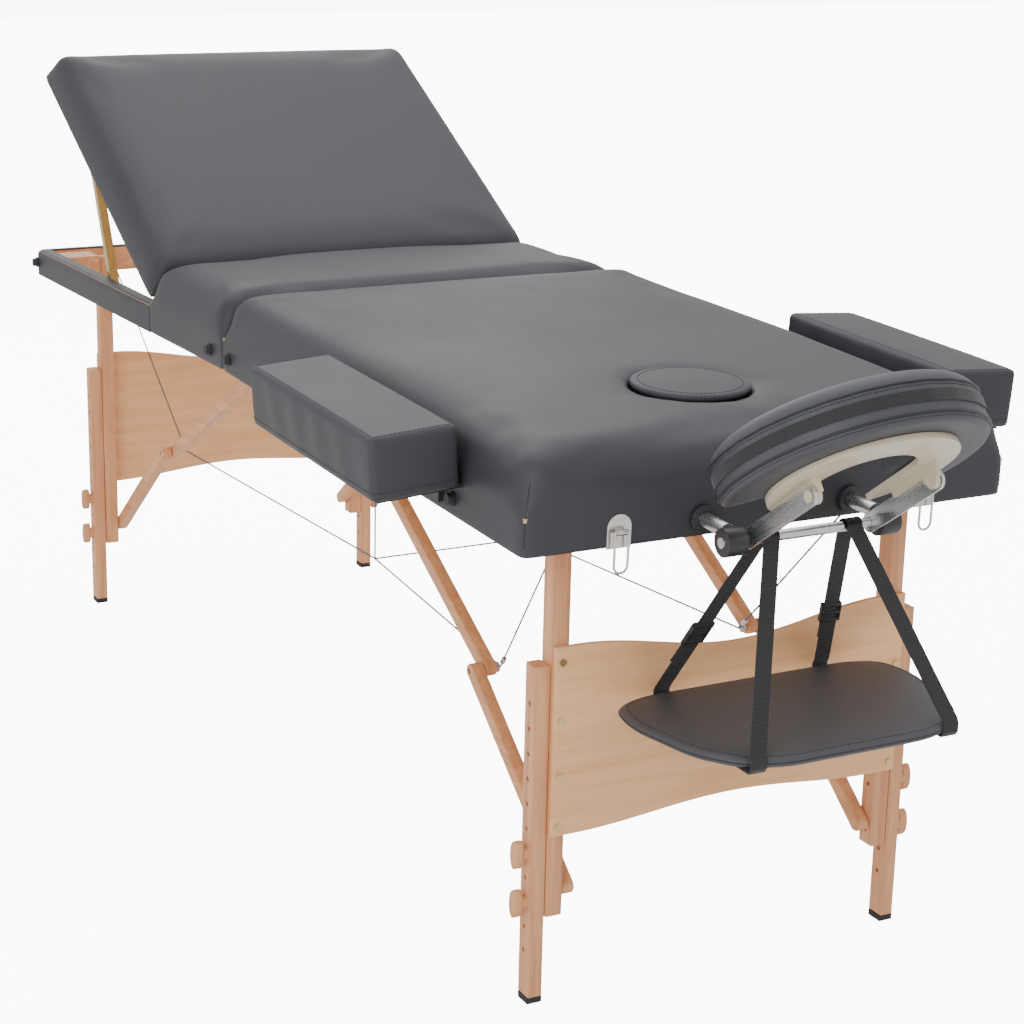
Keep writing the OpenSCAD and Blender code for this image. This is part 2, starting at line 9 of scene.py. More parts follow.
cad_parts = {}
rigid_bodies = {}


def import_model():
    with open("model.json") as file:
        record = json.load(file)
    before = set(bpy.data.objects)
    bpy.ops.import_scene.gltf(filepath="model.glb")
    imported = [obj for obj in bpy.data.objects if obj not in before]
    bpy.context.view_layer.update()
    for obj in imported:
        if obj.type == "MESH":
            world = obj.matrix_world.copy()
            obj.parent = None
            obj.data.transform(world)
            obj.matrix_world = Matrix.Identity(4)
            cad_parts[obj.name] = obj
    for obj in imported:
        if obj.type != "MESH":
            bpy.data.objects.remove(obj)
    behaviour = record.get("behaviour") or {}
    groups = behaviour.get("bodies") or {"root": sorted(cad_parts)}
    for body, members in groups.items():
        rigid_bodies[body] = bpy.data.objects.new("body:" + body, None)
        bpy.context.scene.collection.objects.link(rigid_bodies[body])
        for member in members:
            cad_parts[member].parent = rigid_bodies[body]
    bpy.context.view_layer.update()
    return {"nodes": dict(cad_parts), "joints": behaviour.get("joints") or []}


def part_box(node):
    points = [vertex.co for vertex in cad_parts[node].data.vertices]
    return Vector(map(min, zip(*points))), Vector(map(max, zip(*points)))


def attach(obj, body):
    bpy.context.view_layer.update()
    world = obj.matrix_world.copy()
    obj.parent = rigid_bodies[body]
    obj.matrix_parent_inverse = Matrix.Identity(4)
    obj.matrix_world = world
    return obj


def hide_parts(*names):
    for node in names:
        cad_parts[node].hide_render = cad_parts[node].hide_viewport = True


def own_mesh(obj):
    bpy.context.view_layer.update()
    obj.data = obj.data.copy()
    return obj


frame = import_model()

scene = bpy.context.scene
nodes = frame["nodes"]
joints = {j["name"]: j for j in frame["joints"]}
hinge = Vector(joints["mid_fold"]["pos_m"])  # the middle hinge

print("setting the table's own frames")
table = {"arch": 1.2, "hingeDrop": 0.004, "backAngle": 30.0}  # degrees and metres
midPoint = Vector((hinge.x, 0, hinge.z + table["hingeDrop"]))
arch = math.radians(table["arch"])
headPlace = Matrix.Translation(midPoint) @ Matrix.Rotation(arch, 4, "Y")
footPlace = Matrix.Translation(midPoint) @ Matrix.Rotation(-arch, 4, "Y")
backHinge = Vector(joints["backrest_tilt"]["pos_m"])
backPlace = (Matrix.Translation((backHinge.x, 0, backHinge.z))
             @ Matrix.Rotation(-arch + math.radians(table["backAngle"]), 4, "Y"))


# Materials and the grain they share
def newSockets(group, takes, gives):
    for name, kind, start in takes:
        s = group.interface.new_socket(name=name, in_out="INPUT", socket_type=kind)
        if start is not None:
            s.default_value = start
    for name, kind in gives:
        group.interface.new_socket(name=name, in_out="OUTPUT", socket_type=kind)


def addNode(tree, kind, **values):
    n = tree.nodes.new(kind)
    for key, value in values.items():
        setattr(n, key, value)
    return n


def makeGrainGroup():
    # fine pebble of embossed leatherette with a slow change of tone
    g = bpy.data.node_groups.new("pebbleGrain", "ShaderNodeTree")
    newSockets(g, [("Vector", "NodeSocketVector", None), ("Pebble Scale", "NodeSocketFloat", 900.0),
                   ("Cloud Scale", "NodeSocketFloat", 4.0)],
               [("Height", "NodeSocketFloat"), ("Cloud", "NodeSocketFloat")])
    start, end = g.nodes.new("NodeGroupInput"), g.nodes.new("NodeGroupOutput")
    cells = addNode(g, "ShaderNodeTexVoronoi", feature="DISTANCE_TO_EDGE")
    fine = addNode(g, "ShaderNodeTexNoise")
    fine.inputs["Detail"].default_value = 3
    cloud = addNode(g, "ShaderNodeTexNoise")
    cloud.inputs["Detail"].default_value = 4
    mix = addNode(g, "ShaderNodeMath", operation="MULTIPLY_ADD")
    mix.inputs[1].default_value = 0.35
    squeeze = addNode(g, "ShaderNodeMath", operation="MINIMUM")
    squeeze.inputs[1].default_value = 0.25
    g.links.new(start.outputs["Vector"], cells.inputs["Vector"])
    g.links.new(start.outputs["Pebble Scale"], cells.inputs["Scale"])
    g.links.new(start.outputs["Vector"], fine.inputs["Vector"])
    g.links.new(start.outputs["Pebble Scale"], fine.inputs["Scale"])
    g.links.new(start.outputs["Vector"], cloud.inputs["Vector"])
    g.links.new(start.outputs["Cloud Scale"], cloud.inputs["Scale"])
    g.links.new(cells.outputs["Distance"], squeeze.inputs[0])
    g.links.new(fine.outputs["Fac"], mix.inputs[0])
    g.links.new(squeeze.outputs[0], mix.inputs[2])
    g.links.new(mix.outputs[0], end.inputs["Height"])
    g.links.new(cloud.outputs["Fac"], end.inputs["Cloud"])
    return g


def makeWoodGroup():
    # growth streaks and short rays, drawn out along the grain
    g = bpy.data.node_groups.new("beechGrain", "ShaderNodeTree")
    newSockets(g, [("Vector", "NodeSocketVector", None)],
               [("Streak", "NodeSocketFloat"), ("Ray", "NodeSocketFloat"), ("Tone", "NodeSocketFloat")])
    start, end = g.nodes.new("NodeGroupInput"), g.nodes.new("NodeGroupOutput")
    streak = addNode(g, "ShaderNodeTexNoise")
    streak.inputs["Scale"].default_value = 1.0
    streak.inputs["Detail"].default_value = 5
    streak.inputs["Distortion"].default_value = 0.6
    ray = addNode(g, "ShaderNodeTexVoronoi")
    ray.inputs["Scale"].default_value = 4.0
    tone = addNode(g, "ShaderNodeTexNoise")
    tone.inputs["Scale"].default_value = 0.25
    for n in (streak, ray, tone):
        g.links.new(start.outputs["Vector"], n.inputs["Vector"])
    g.links.new(streak.outputs["Fac"], end.inputs["Streak"])
    rays = addNode(g, "ShaderNodeMath", operation="LESS_THAN")
    rays.inputs[1].default_value = 0.16
    g.links.new(ray.outputs["Distance"], rays.inputs[0])
    g.links.new(rays.outputs[0], end.inputs["Ray"])
    g.links.new(tone.outputs["Fac"], end.inputs["Tone"])
    return g


grainGroup = makeGrainGroup()
woodGroup = makeWoodGroup()


def startMaterial(name):
    m = bpy.data.materials.new(name)
    m.use_nodes = True
    t = m.node_tree
    return m, t, t.nodes["Principled BSDF"]


def ramp(tree, source, stops, target):
    r = tree.nodes.new("ShaderNodeValToRGB")
    while len(r.color_ramp.elements) < len(stops):
        r.color_ramp.elements.new(0.5)
    for e, (place, colour) in zip(r.color_ramp.elements, stops):
        e.position = place
        e.color = (*colour, 1) if len(colour) == 3 else colour
    tree.links.new(source, r.inputs["Fac"])
    tree.links.new(r.outputs["Color"], target)
    return r


def addBump(tree, shader, height, strength, distance):
    b = tree.nodes.new("ShaderNodeBump")
    b.inputs["Strength"].default_value = strength
    b.inputs["Distance"].default_value = distance
    tree.links.new(height, b.inputs["Height"])
    tree.links.new(b.outputs["Normal"], shader.inputs["Normal"])


def leather(name, low, high, pebble=900.0, rough=(0.36, 0.46), bump=0.25, sheen=0.0):
    m, t, s = startMaterial(name)
    co = t.nodes.new("ShaderNodeTexCoord")
    g = addNode(t, "ShaderNodeGroup")
    g.node_tree = grainGroup
    g.inputs["Pebble Scale"].default_value = pebble
    t.links.new(co.outputs["Object"], g.inputs["Vector"])
    ramp(t, g.outputs["Cloud"], [(0.3, low), (0.7, high)], s.inputs["Base Color"])
    ramp(t, g.outputs["Cloud"], [(0.3, (rough[0],) * 3), (0.7, (rough[1],) * 3)], s.inputs["Roughness"])
    addBump(t, s, g.outputs["Height"], bump, 0.0006)
    s.inputs["Specular IOR Level"].default_value = 0.36
    s.inputs["Sheen Weight"].default_value = sheen
    return m


def wood(name, dark, light, turn=(0, 0, 0), rough=0.42, wide=1.0):
    # the grain runs along X before the pattern is turned
    m, t, s = startMaterial(name)
    co = t.nodes.new("ShaderNodeTexCoord")
    mp = addNode(t, "ShaderNodeMapping", vector_type="TEXTURE")
    fine, long = 0.011 * wide, 0.20
    mp.inputs["Rotation"].default_value = [math.radians(a) for a in turn]
    mp.inputs["Scale"].default_value = (long, fine, fine)
    g = addNode(t, "ShaderNodeGroup")
    g.node_tree = woodGroup
    t.links.new(co.outputs["Object"], mp.inputs["Vector"])
    t.links.new(mp.outputs["Vector"], g.inputs["Vector"])
    base = t.nodes.new("ShaderNodeMix")
    base.data_type = "RGBA"
    base.blend_type = "MULTIPLY"
    base.inputs["Factor"].default_value = 0.45
    r = t.nodes.new("ShaderNodeValToRGB")
    r.color_ramp.elements[0].position, r.color_ramp.elements[1].position = 0.3, 0.72
    r.color_ramp.elements[0].color, r.color_ramp.elements[1].color = (*dark, 1), (*light, 1)
    t.links.new(g.outputs["Streak"], r.inputs["Fac"])
    t.links.new(r.outputs["Color"], base.inputs["A"])
    flecks = t.nodes.new("ShaderNodeValToRGB")
    flecks.color_ramp.elements[0].color = (1, 1, 1, 1)
    flecks.color_ramp.elements[1].color = (0.84, 0.70, 0.58, 1)
    t.links.new(g.outputs["Ray"], flecks.inputs["Fac"])
    t.links.new(flecks.outputs["Color"], base.inputs["B"])
    t.links.new(base.outputs["Result"], s.inputs["Base Color"])
    gloss = [(0.3, (rough - 0.06,) * 3), (0.7, (rough + 0.08,) * 3)]
    ramp(t, g.outputs["Tone"], gloss, s.inputs["Roughness"])
    addBump(t, s, g.outputs["Streak"], 0.15, 0.0004)
    return m


def plain(name, colour, rough, metal=0.0, speck=400.0, bump=0.1, spread=0.06, coat=0.0):
    # a moulded or plated surface with a little change of gloss
    m, t, s = startMaterial(name)
    co = t.nodes.new("ShaderNodeTexCoord")
    n = t.nodes.new("ShaderNodeTexNoise")
    n.inputs["Scale"].default_value = speck
    n.inputs["Detail"].default_value = 4
    t.links.new(co.outputs["Object"], n.inputs["Vector"])
    darker = tuple(c * 0.88 for c in colour)
    ramp(t, n.outputs["Fac"], [(0.3, darker), (0.7, colour)], s.inputs["Base Color"])
    gloss = [(0.3, (rough - spread,) * 3), (0.7, (rough + spread,) * 3)]
    ramp(t, n.outputs["Fac"], gloss, s.inputs["Roughness"])
    addBump(t, s, n.outputs["Fac"], bump, 0.0003)
    s.inputs["Metallic"].default_value = metal
    s.inputs["Coat Weight"].default_value = coat
    return m


def woven(name, colour, pitch=0.0022):
    # crossed ribs of a nylon tape
    m, t, s = startMaterial(name)
    co = t.nodes.new("ShaderNodeTexCoord")
    waves = []
    for way in ("X", "Z"):
        wv = addNode(t, "ShaderNodeTexWave", wave_type="BANDS", bands_direction=way)
        wv.inputs["Scale"].default_value = 0.314 / pitch
        t.links.new(co.outputs["Object"], wv.inputs["Vector"])
        waves.append(wv)
    mul = addNode(t, "ShaderNodeMath", operation="MULTIPLY")
    t.links.new(waves[0].outputs["Fac"], mul.inputs[0])
    t.links.new(waves[1].outputs["Fac"], mul.inputs[1])
    ramp(t, mul.outputs[0], [(0.0, tuple(c * 0.6 for c in colour)), (1.0, colour)], s.inputs["Base Color"])
    addBump(t, s, mul.outputs[0], 0.5, 0.0006)
    s.inputs["Roughness"].default_value = 0.7
    s.inputs["Sheen Weight"].default_value = 0.15
    return m


print("making the materials")
slate = leather("slateLeather", (0.036, 0.037, 0.043), (0.048, 0.049, 0.056), rough=(0.46, 0.56))
slateTrim = leather("slateTrim", (0.033, 0.034, 0.040), (0.043, 0.044, 0.051), rough=(0.46, 0.56))
paddingHide = leather("accessoryLeather", (0.060, 0.061, 0.069), (0.078, 0.079, 0.088), rough=(0.42, 0.52))
seamCord = leather("seamCord", (0.020, 0.023, 0.028), (0.028, 0.032, 0.038), pebble=1400, bump=0.35)
beechDark, beechLight = (0.62, 0.27, 0.12), (0.84, 0.43, 0.21)
beechUp = wood("beechUpright", beechDark, beechLight, (0, 90, 0))
beechLong = wood("beechLong", beechDark, beechLight)
beechPanel = wood("beechPanel", (0.84, 0.43, 0.19), (0.96, 0.55, 0.27), (0, 0, 90), rough=0.38, wide=1.5)
deckPly = wood("deckPly", (0.55, 0.38, 0.22), (0.68, 0.50, 0.31), rough=0.55, wide=2.0)
rubber = plain("bumperRubber", (0.022, 0.022, 0.024), 0.62, speck=900, bump=0.25)
nylon = plain("blackNylon", (0.025, 0.025, 0.028), 0.42, speck=1200, bump=0.2)
zincSteel = plain("zincSteel", (0.55, 0.55, 0.54), 0.33, metal=1.0, speck=700)
nickel = plain("nickelPlate", (0.72, 0.70, 0.66), 0.18, metal=1.0, speck=300, bump=0.05, spread=0.04)
brass = plain("yellowZinc", (0.74, 0.58, 0.28), 0.28, metal=1.0, speck=300, bump=0.08)
satinAlu = plain("satinAluminium", (0.74, 0.75, 0.77), 0.3, metal=1.0, speck=500, bump=0.06)
shellBeige = plain("shellBeige", (0.70, 0.62, 0.46), 0.36, speck=260, bump=0.06, coat=0.1)
ropeSteel = plain("ropeSteel", (0.20, 0.19, 0.17), 0.42, metal=0.9, speck=2500, bump=0.8)
tape = woven("nylonTape", (0.020, 0.020, 0.023))
thread = plain("darkThread", (0.030, 0.033, 0.040), 0.6, speck=3000, bump=0.5)


# Small makers of meshes
def objectFrom(bm, name, material, body, place=None, smooth=True):
    if place is not None:
        bmesh.ops.transform(bm, matrix=place, verts=bm.verts)
    mesh = bpy.data.meshes.new(name)
    bm.to_mesh(mesh)
    bm.free()
    piece = bpy.data.objects.new(name, mesh)
    scene.collection.objects.link(piece)
    mesh.materials.append(material)
    for p in mesh.polygons:
        p.use_smooth = smooth
    if body:
        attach(piece, body)
    return piece


def boxMesh(low, high):
    bm = bmesh.new()
    bmesh.ops.create_cube(bm, size=1)
    size = Vector(high) - Vector(low)
    bmesh.ops.scale(bm, vec=size, verts=bm.verts)
    bmesh.ops.translate(bm, vec=(Vector(high) + Vector(low)) / 2, verts=bm.verts)
    return bm


def bevelEdges(bm, edges, width, segments=4):
    bmesh.ops.bevel(bm, geom=list(edges), offset=width, segments=segments, profile=0.5,
                    affect="EDGES", material=-1, clamp_overlap=True)


def applyModifiers(piece):
    graph = bpy.context.evaluated_depsgraph_get()
    done = bpy.data.meshes.new_from_object(piece.evaluated_get(graph))
    old = piece.data
    piece.modifiers.clear()
    piece.data = done
    bpy.data.meshes.remove(old)


def inflate(piece, pressure, cap, pin=None, frames=20, stiffness=12.0):
    # swells a mesh as filled fabric, keeps each point within cap of where it was
    before = [v.co.copy() for v in piece.data.vertices]
    cloth = piece.modifiers.new("fill", "CLOTH")
    st = cloth.settings
    st.quality = 5
    st.mass = 0.3
    st.tension_stiffness = st.compression_stiffness = stiffness
    st.shear_stiffness = stiffness * 0.5
    st.bending_stiffness = 0.6
    st.use_pressure = True
    st.uniform_pressure_force = pressure
    st.effector_weights.gravity = 0
    cloth.collision_settings.use_collision = False
    if pin:
        st.vertex_group_mass = pin
    cloth.point_cache.frame_start, cloth.point_cache.frame_end = 1, frames
    for f in range(1, frames + 1):
        scene.frame_set(f)
    graph = bpy.context.evaluated_depsgraph_get()
    moved = [v.co.copy() for v in piece.evaluated_get(graph).data.vertices]
    piece.modifiers.clear()
    scene.frame_set(1)
    for v, a, b in zip(piece.data.vertices, before, moved):
        step = b - a
        if step.length > cap:
            step *= cap / step.length
        v.co = a + step


def smoothMesh(piece, times, factor=0.5, keep=None):
    bm = bmesh.new()
    bm.from_mesh(piece.data)
    verts = [v for v in bm.verts if keep is None or not keep(v.co)]
    for _ in range(times):
        bmesh.ops.smooth_vert(bm, verts=verts, factor=factor,
                              use_axis_x=True, use_axis_y=True, use_axis_z=True)
    bm.to_mesh(piece.data)
    bm.free()


def tubeAlong(name, points, radius, material, body, closed=False, sides=8):
    curve = bpy.data.curves.new(name, "CURVE")
    curve.dimensions = "3D"
    curve.bevel_depth = radius
    curve.bevel_resolution = max(0, sides // 4 - 1)
    curve.use_fill_caps = True
    spline = curve.splines.new("POLY")
    spline.points.add(len(points) - 1)
    for p, q in zip(spline.points, points):
        p.co = (*q, 1)
    spline.use_cyclic_u = closed
    temp = bpy.data.objects.new(name, curve)
    scene.collection.objects.link(temp)
    graph = bpy.context.evaluated_depsgraph_get()
    mesh = bpy.data.meshes.new_from_object(temp.evaluated_get(graph))
    bpy.data.objects.remove(temp)
    piece = bpy.data.objects.new(name, mesh)
    scene.collection.objects.link(piece)
    mesh.materials.clear()
    mesh.materials.append(material)
    for p in mesh.polygons:
        p.use_smooth = True
    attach(piece, body)
    return piece


def onSurface(piece, points, proud=0.0):
    # the nearest spots on a piece to each point, a little proud of it
    graph = bpy.context.evaluated_depsgraph_get()
    tree = BVHTree.FromObject(piece, graph)
    found = []
    for p in points:
        spot, normal, _, _ = tree.find_nearest(p)
        found.append(spot + normal * proud)
    return found


def evenly(points, step, closed=False):
    pts = list(points) + ([points[0]] if closed else [])
    out, carry = [Vector(pts[0])], 0.0
    for a, b in zip(pts, pts[1:]):
        a, b = Vector(a), Vector(b)
        d = (b - a).length
        at = step - carry
        while at < d:
            out.append(a.lerp(b, at / d))
            at += step
        carry = (carry + d) % step
    return out


def stitches(name, target, points, body, pitch=0.006, radius=0.0006, closed=True):
    # a row of short raised threads pressed into the surface
    spots = onSurface(target, evenly(points, pitch / 2, closed), 0.0)
    bm = bmesh.new()
    for a, b in zip(spots[0::2], spots[1::2]):
        way = b - a
        if way.length < 1e-5:
            continue
        turn = way.to_track_quat("Z", "Y").to_matrix().to_4x4()
        bmesh.ops.create_cone(bm, cap_ends=True, segments=5, radius1=radius, radius2=radius,
                              depth=way.length * 1.5, matrix=Matrix.Translation((a + b) / 2) @ turn)
    return objectFrom(bm, name, thread, body)


def roundOff(co, s, low, high):
    # pulls a point of the plain box onto soft top edges and tighter upright corners
    big = s["round"]
    up = min(max((co.z - s["bottom"] - s["tight"]) / (s["top"] - big - s["bottom"] - s["tight"]), 0.0), 1.0)
    small = s["corner"][0] if co.x < (low[0] + high[0]) / 2 else s["corner"][1]
    r = small + (big - small) * up * up * (3 - 2 * up)
    core = Vector((min(max(co.x, low[0] + r), high[0] - r), min(max(co.y, low[1] + r), high[1] - r),
                   min(co.z, s["top"] - big)))
    way = co - core
    if way.length < 1e-6:
        return co
    if co.z > s["top"] - big:
        return core + way.normalized() * big
    flat = Vector((way.x, way.y, 0))
    return co if flat.length < 1e-6 else core + flat.normalized() * r


# Fitted covers, open underneath, with rounded rims
def coverPad(name, settings, place, body, hole=None):
    s = settings
    low, high = (s["x0"], -s["half"], s["bottom"]), (s["x1"], s["half"], s["top"])
    bm = boxMesh(low, high)
    under = [f for f in bm.faces if f.normal.z < -0.9]
    bmesh.ops.delete(bm, geom=under, context="FACES")
    cell = s["cell"]
    for axis, a, b in ((0, low[0], high[0]), (1, low[1], high[1]), (2, low[2], high[2])):
        count = max(1, round((b - a) / cell))
        normal = Vector([1.0 if i == axis else 0.0 for i in range(3)])
        for i in range(1, count):
            at = normal * (a + (b - a) * i / count)
            bmesh.ops.bisect_plane(bm, geom=bm.verts[:] + bm.edges[:] + bm.faces[:], dist=1e-5,
                                   plane_co=at, plane_no=normal)
    if s.get("openWall"):  # the folded legs pass under the strip here
        gone = [f for f in bm.faces if f.normal.x < -0.9 and f.calc_center_median().z < s["tight"]
                and abs(f.calc_center_median().y) < 0.312]
        bmesh.ops.delete(bm, geom=gone, context="FACES")
    if hole:
        hx, hr = hole
        inside = [f for f in bm.faces if f.normal.z > 0.9
                  and (f.calc_center_median().xy - Vector((hx, 0))).length < hr]
        bmesh.ops.delete(bm, geom=inside, context="FACES")
        rim = [v for v in bm.verts if v.is_boundary and v.co.z > s["top"] - 0.002
               and (v.co.xy - Vector((hx, 0))).length < hr * 1.25]
        for v in rim:
            way = (v.co.xy - Vector((hx, 0))).normalized() * hr
            v.co.x, v.co.y = hx + way.x, way.y
        ringEdges = [e for e in bm.edges if e.is_boundary and all(v in rim for v in e.verts)]
        for drop in (0.004, 0.060):
            made = bmesh.ops.extrude_edge_only(bm, edges=ringEdges)["geom"]
            fresh = [v for v in made if isinstance(v, bmesh.types.BMVert)]
            bmesh.ops.translate(bm, vec=(0, 0, -drop), verts=fresh)
            ringEdges = [e for e in made if isinstance(e, bmesh.types.BMEdge)
                         and all(v in fresh for v in e.verts)]
    for v in bm.verts:
        if not (hole and (v.co.xy - Vector((hole[0], 0))).length < hole[1] + 0.004):
            v.co = roundOff(v.co, s, low, high)
    bmesh.ops.remove_doubles(bm, verts=bm.verts, dist=1e-5)
    bmesh.ops.recalc_face_normals(bm, faces=bm.faces)
    piece = objectFrom(bm, name, slate, None)
    group = piece.vertex_groups.new(name="held")
    for v in piece.data.vertices:
        byHole = hole and (v.co.xy - Vector((hole[0], 0))).length < hole[1] + 0.004
        if v.co.z < s["bottom"] + s["held"] or byHole:
            group.add([v.index], 1.0, "REPLACE")
    still = [v.co.copy() for v in piece.data.vertices]
    inflate(piece, s["pressure"], s["cap"], pin="held")
    for v, was in zip(piece.data.vertices, still):  # the sides stay tight where the rails back them
        free = min(max((was.z - s["bottom"] - s["tight"]) / 0.04, 0.0), 1.0)
        v.co = was.lerp(v.co, free)
    for v in piece.data.vertices:  # a soft crown along the middle
        u = (v.co.x - s["x0"]) / (s["x1"] - s["x0"])
        w = v.co.y / s["half"]
        if v.co.z > s["top"] - 0.01:
            v.co.z += s["crown"] * (1 - (2 * u - 1) ** 4) * (1 - w ** 4)
    smoothMesh(piece, 2, 0.4, keep=lambda c: c.z < s["bottom"] + s["tight"] + 0.008)
    crease = piece.data.attributes.new("crease_edge", "FLOAT", "EDGE")
    for e in piece.data.edges:  # the cover is drawn tight round the frame's sharp corners
        a, b = (piece.data.vertices[i].co for i in e.vertices)
        atEnd = min(abs(a.x - low[0]), abs(a.x - high[0])) < 0.002 and s["half"] - abs(a.y) < 0.002
        if atEnd and max(a.z, b.z) < s["bottom"] + s["tight"] + 0.010 and (a.xy - b.xy).length < 0.002:
            crease.data[e.index].value = 1.0
    piece.data.transform(place)
    wall = piece.modifiers.new("wall", "SOLIDIFY")
    wall.thickness, wall.offset = 0.0022, -1
    soft = piece.modifiers.new("soft", "SUBSURF")
    soft.levels = soft.render_levels = 1
    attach(piece, body)
    return piece


print("sewing the head half's cover")
padHead = {"x0": 0.0003, "x1": 0.9342, "half": 0.3402, "bottom": 0.0, "top": 0.117, "corner": (0.0015, 0.008),
           "round": 0.038, "held": 0.012, "tight": 0.045, "pressure": 2.0, "cap": 0.006, "crown": 0.004,
           "cell": 0.0115}
headPad = coverPad("headPad", padHead, headPlace, "head_half", hole=(0.730, 0.0752))
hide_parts("head_cushion", "head_wrap")
for way, side in ((1, "Left"), (-1, "Right")):
    corner = [headPlace @ Vector((0.940, way * 0.346, 0.012 + 0.004 * i)) for i in range(22)]
    stitches(f"headCornerSeam{side}", headPad, corner, "head_half", pitch=0.005, radius=0.0008, closed=False)

padStrip = {"x0": -0.3185, "x1": -0.0003, "half": 0.3405, "bottom": 0.0, "top": 0.106,
            "corner": (0.0015, 0.0015), "openWall": True, "round": 0.032, "held": 0.012,
            "tight": 0.045, "pressure": 2.2, "cap": 0.006, "crown": 0.006, "cell": 0.0115}
stripPad = coverPad("stripPad", padStrip, footPlace, "foot_half")
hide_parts("strip_cushion")

padBack = {"x0": -0.6125, "x1": -0.012, "half": 0.3345, "bottom": 0.0, "top": 0.066, "corner": (0.003, 0.003),
           "round": 0.030, "held": 0.010, "tight": 0.012, "pressure": 2.0, "cap": 0.006, "crown": 0.003,
           "cell": 0.0115}
backPad = coverPad("backrestPad", padBack, backPlace, "backrest")
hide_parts("backrest_cushion")


print("wrapping the open base")
def loft(rings, name, material, body, place=None, closed=False, sharp=35):
    # bridges one ring of points to the next and closes both ends
    bm = bmesh.new()
    loops = []
    for ring in rings:
        verts = [bm.verts.new(q) for q in ring]
        loops.append([bm.edges.new((u, v)) for u, v in zip(verts, verts[1:] + verts[:1])])
    pairs = list(zip(loops, loops[1:] + ([loops[0]] if closed else [])))
    for u, v in pairs[:len(loops) if closed else len(loops) - 1]:
        bmesh.ops.bridge_loops(bm, edges=u + v)
    if not closed:
        bmesh.ops.holes_fill(bm, edges=loops[0] + loops[-1], sides=0)
    bmesh.ops.recalc_face_normals(bm, faces=bm.faces)
    piece = objectFrom(bm, name, material, body, place)
    piece.data.set_sharp_from_angle(angle=math.radians(sharp))
    return piece


wrap = {"outer": 0.3405, "end": 0.9345, "start": 0.3187, "rail": 0.0225, "top": 0.0445, "round": 0.010,
        "corner": 0.016}


def wrapProfile(w):
    arc = [(w["round"] * (1 - math.cos(a)), w["top"] - w["round"] * (1 - math.sin(a)))
           for a in [math.radians(15 * i) for i in range(7)]]
    return [(0.0, 0.0)] + arc + [(w["rail"], w["top"]), (w["rail"], w["top"] - 0.0022),
                                 (0.0032, w["top"] - 0.0026), (0.003, 0.0)]


def wrapStation(w, turn, side):
    # a corner station: turn goes from 0 along the side rail to 90 along the end rail
    c, s = math.cos(math.radians(turn)), math.sin(math.radians(turn))
    cx, cy = -w["end"] + w["corner"], w["outer"] - w["corner"]
    return [(cx - (w["corner"] - o) * s, side * (cy + (w["corner"] - o) * c), z) for o, z in wrapProfile(w)]


sideStart = [[(-wrap["start"], side * (wrap["outer"] - o), z) for o, z in wrapProfile(wrap)]
             for side in (1, -1)]
turns = [0, 22.5, 45, 67.5, 90]
wrapRings = ([sideStart[0]] + [wrapStation(wrap, a, 1) for a in turns]
             + [wrapStation(wrap, a, -1) for a in reversed(turns)] + [sideStart[1]])
baseWrap = loft(wrapRings, "baseWrap", slateTrim, "foot_half", footPlace)
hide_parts("foot_wrap")


def softBox(name, size, place, body, s):
    # a block pad: soft arrises and a slight swell on every face but the bottom; its stitches are added after
    # it is made
    bm = boxMesh((0, 0, 0), size)
    bevelEdges(bm, bm.edges[:], s["round"], 4)
    for axis in range(3):
        count = max(2, round(size[axis] / s["cell"]))
        normal = Vector([1.0 if i == axis else 0.0 for i in range(3)])
        for i in range(1, count):
            bmesh.ops.bisect_plane(bm, geom=bm.verts[:] + bm.edges[:] + bm.faces[:], dist=1e-5,
                                   plane_co=normal * (size[axis] * i / count), plane_no=normal)
    middle, half = Vector(size) / 2, Vector(size) / 2
    for v in bm.verts:
        u = [(v.co[i] - middle[i]) / half[i] for i in range(3)]
        for i in range(3):
            j, k = (i + 1) % 3, (i + 2) % 3
            swell = s["swell"] if i != 2 or u[2] > 0 else 0.0
            if abs(u[i]) > 0.97:
                v.co[i] += math.copysign(swell * (1 - u[j] ** 4) * (1 - u[k] ** 4), u[i])
    piece = objectFrom(bm, name, slate, None)
    for v in piece.data.vertices:  # drag lines of a hand-pulled cover
        u = v.co / size[0]
        v.co.y += 0.0009 * math.sin(34 * u.x + 5 * u.z) * math.sin(math.pi * min(max(v.co.z / size[2], 0), 1))
    piece.data.transform(place)
    soft = piece.modifiers.new("soft", "SUBSURF")
    soft.levels = soft.render_levels = 1
    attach(piece, body)
    return piece


print("filling the small pads")
armSize = (0.370, 0.112, 0.078)
armSet = {"round": 0.007, "cell": 0.011, "swell": 0.0022, "droop": 4.0, "at": (0.425, 0.354, 0.124),
          "inset": 0.0065, "lowSeam": 0.012}


def loopRound(place, inset, z):
    # the four corners of a line round the armrest at one height
    x1, y1 = armSize[0] - inset, armSize[1] - inset
    return [place @ Vector(q) for q in ((inset, inset, z), (x1, inset, z), (x1, y1, z), (inset, y1, z))]


for way, side in ((1, "left"), (-1, "right")):
    droop = Matrix.Rotation(math.radians(-armSet["droop"]), 4, "X")
    spot = Matrix.Translation(armSet["at"]) @ droop @ Matrix.Translation((0, 0, -armSize[2]))
    place = headPlace @ Matrix.Scale(way, 4, (0, 1, 0)) @ spot
    pad = softBox(f"armrestPad{side.title()}", armSize, place, f"{side}_armrest", armSet)
    if way < 0:
        pad.data.flip_normals()
    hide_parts(f"armrest_{side}")
    topLine = loopRound(place, armSet["inset"], armSize[2] - 0.0005)
    stitches(f"armrestStitchTop{side.title()}", pad, topLine, f"{side}_armrest")
    lowLine = loopRound(place, 0, armSet["lowSeam"])
    stitches(f"armrestStitchLow{side.title()}", pad, lowLine, f"{side}_armrest")

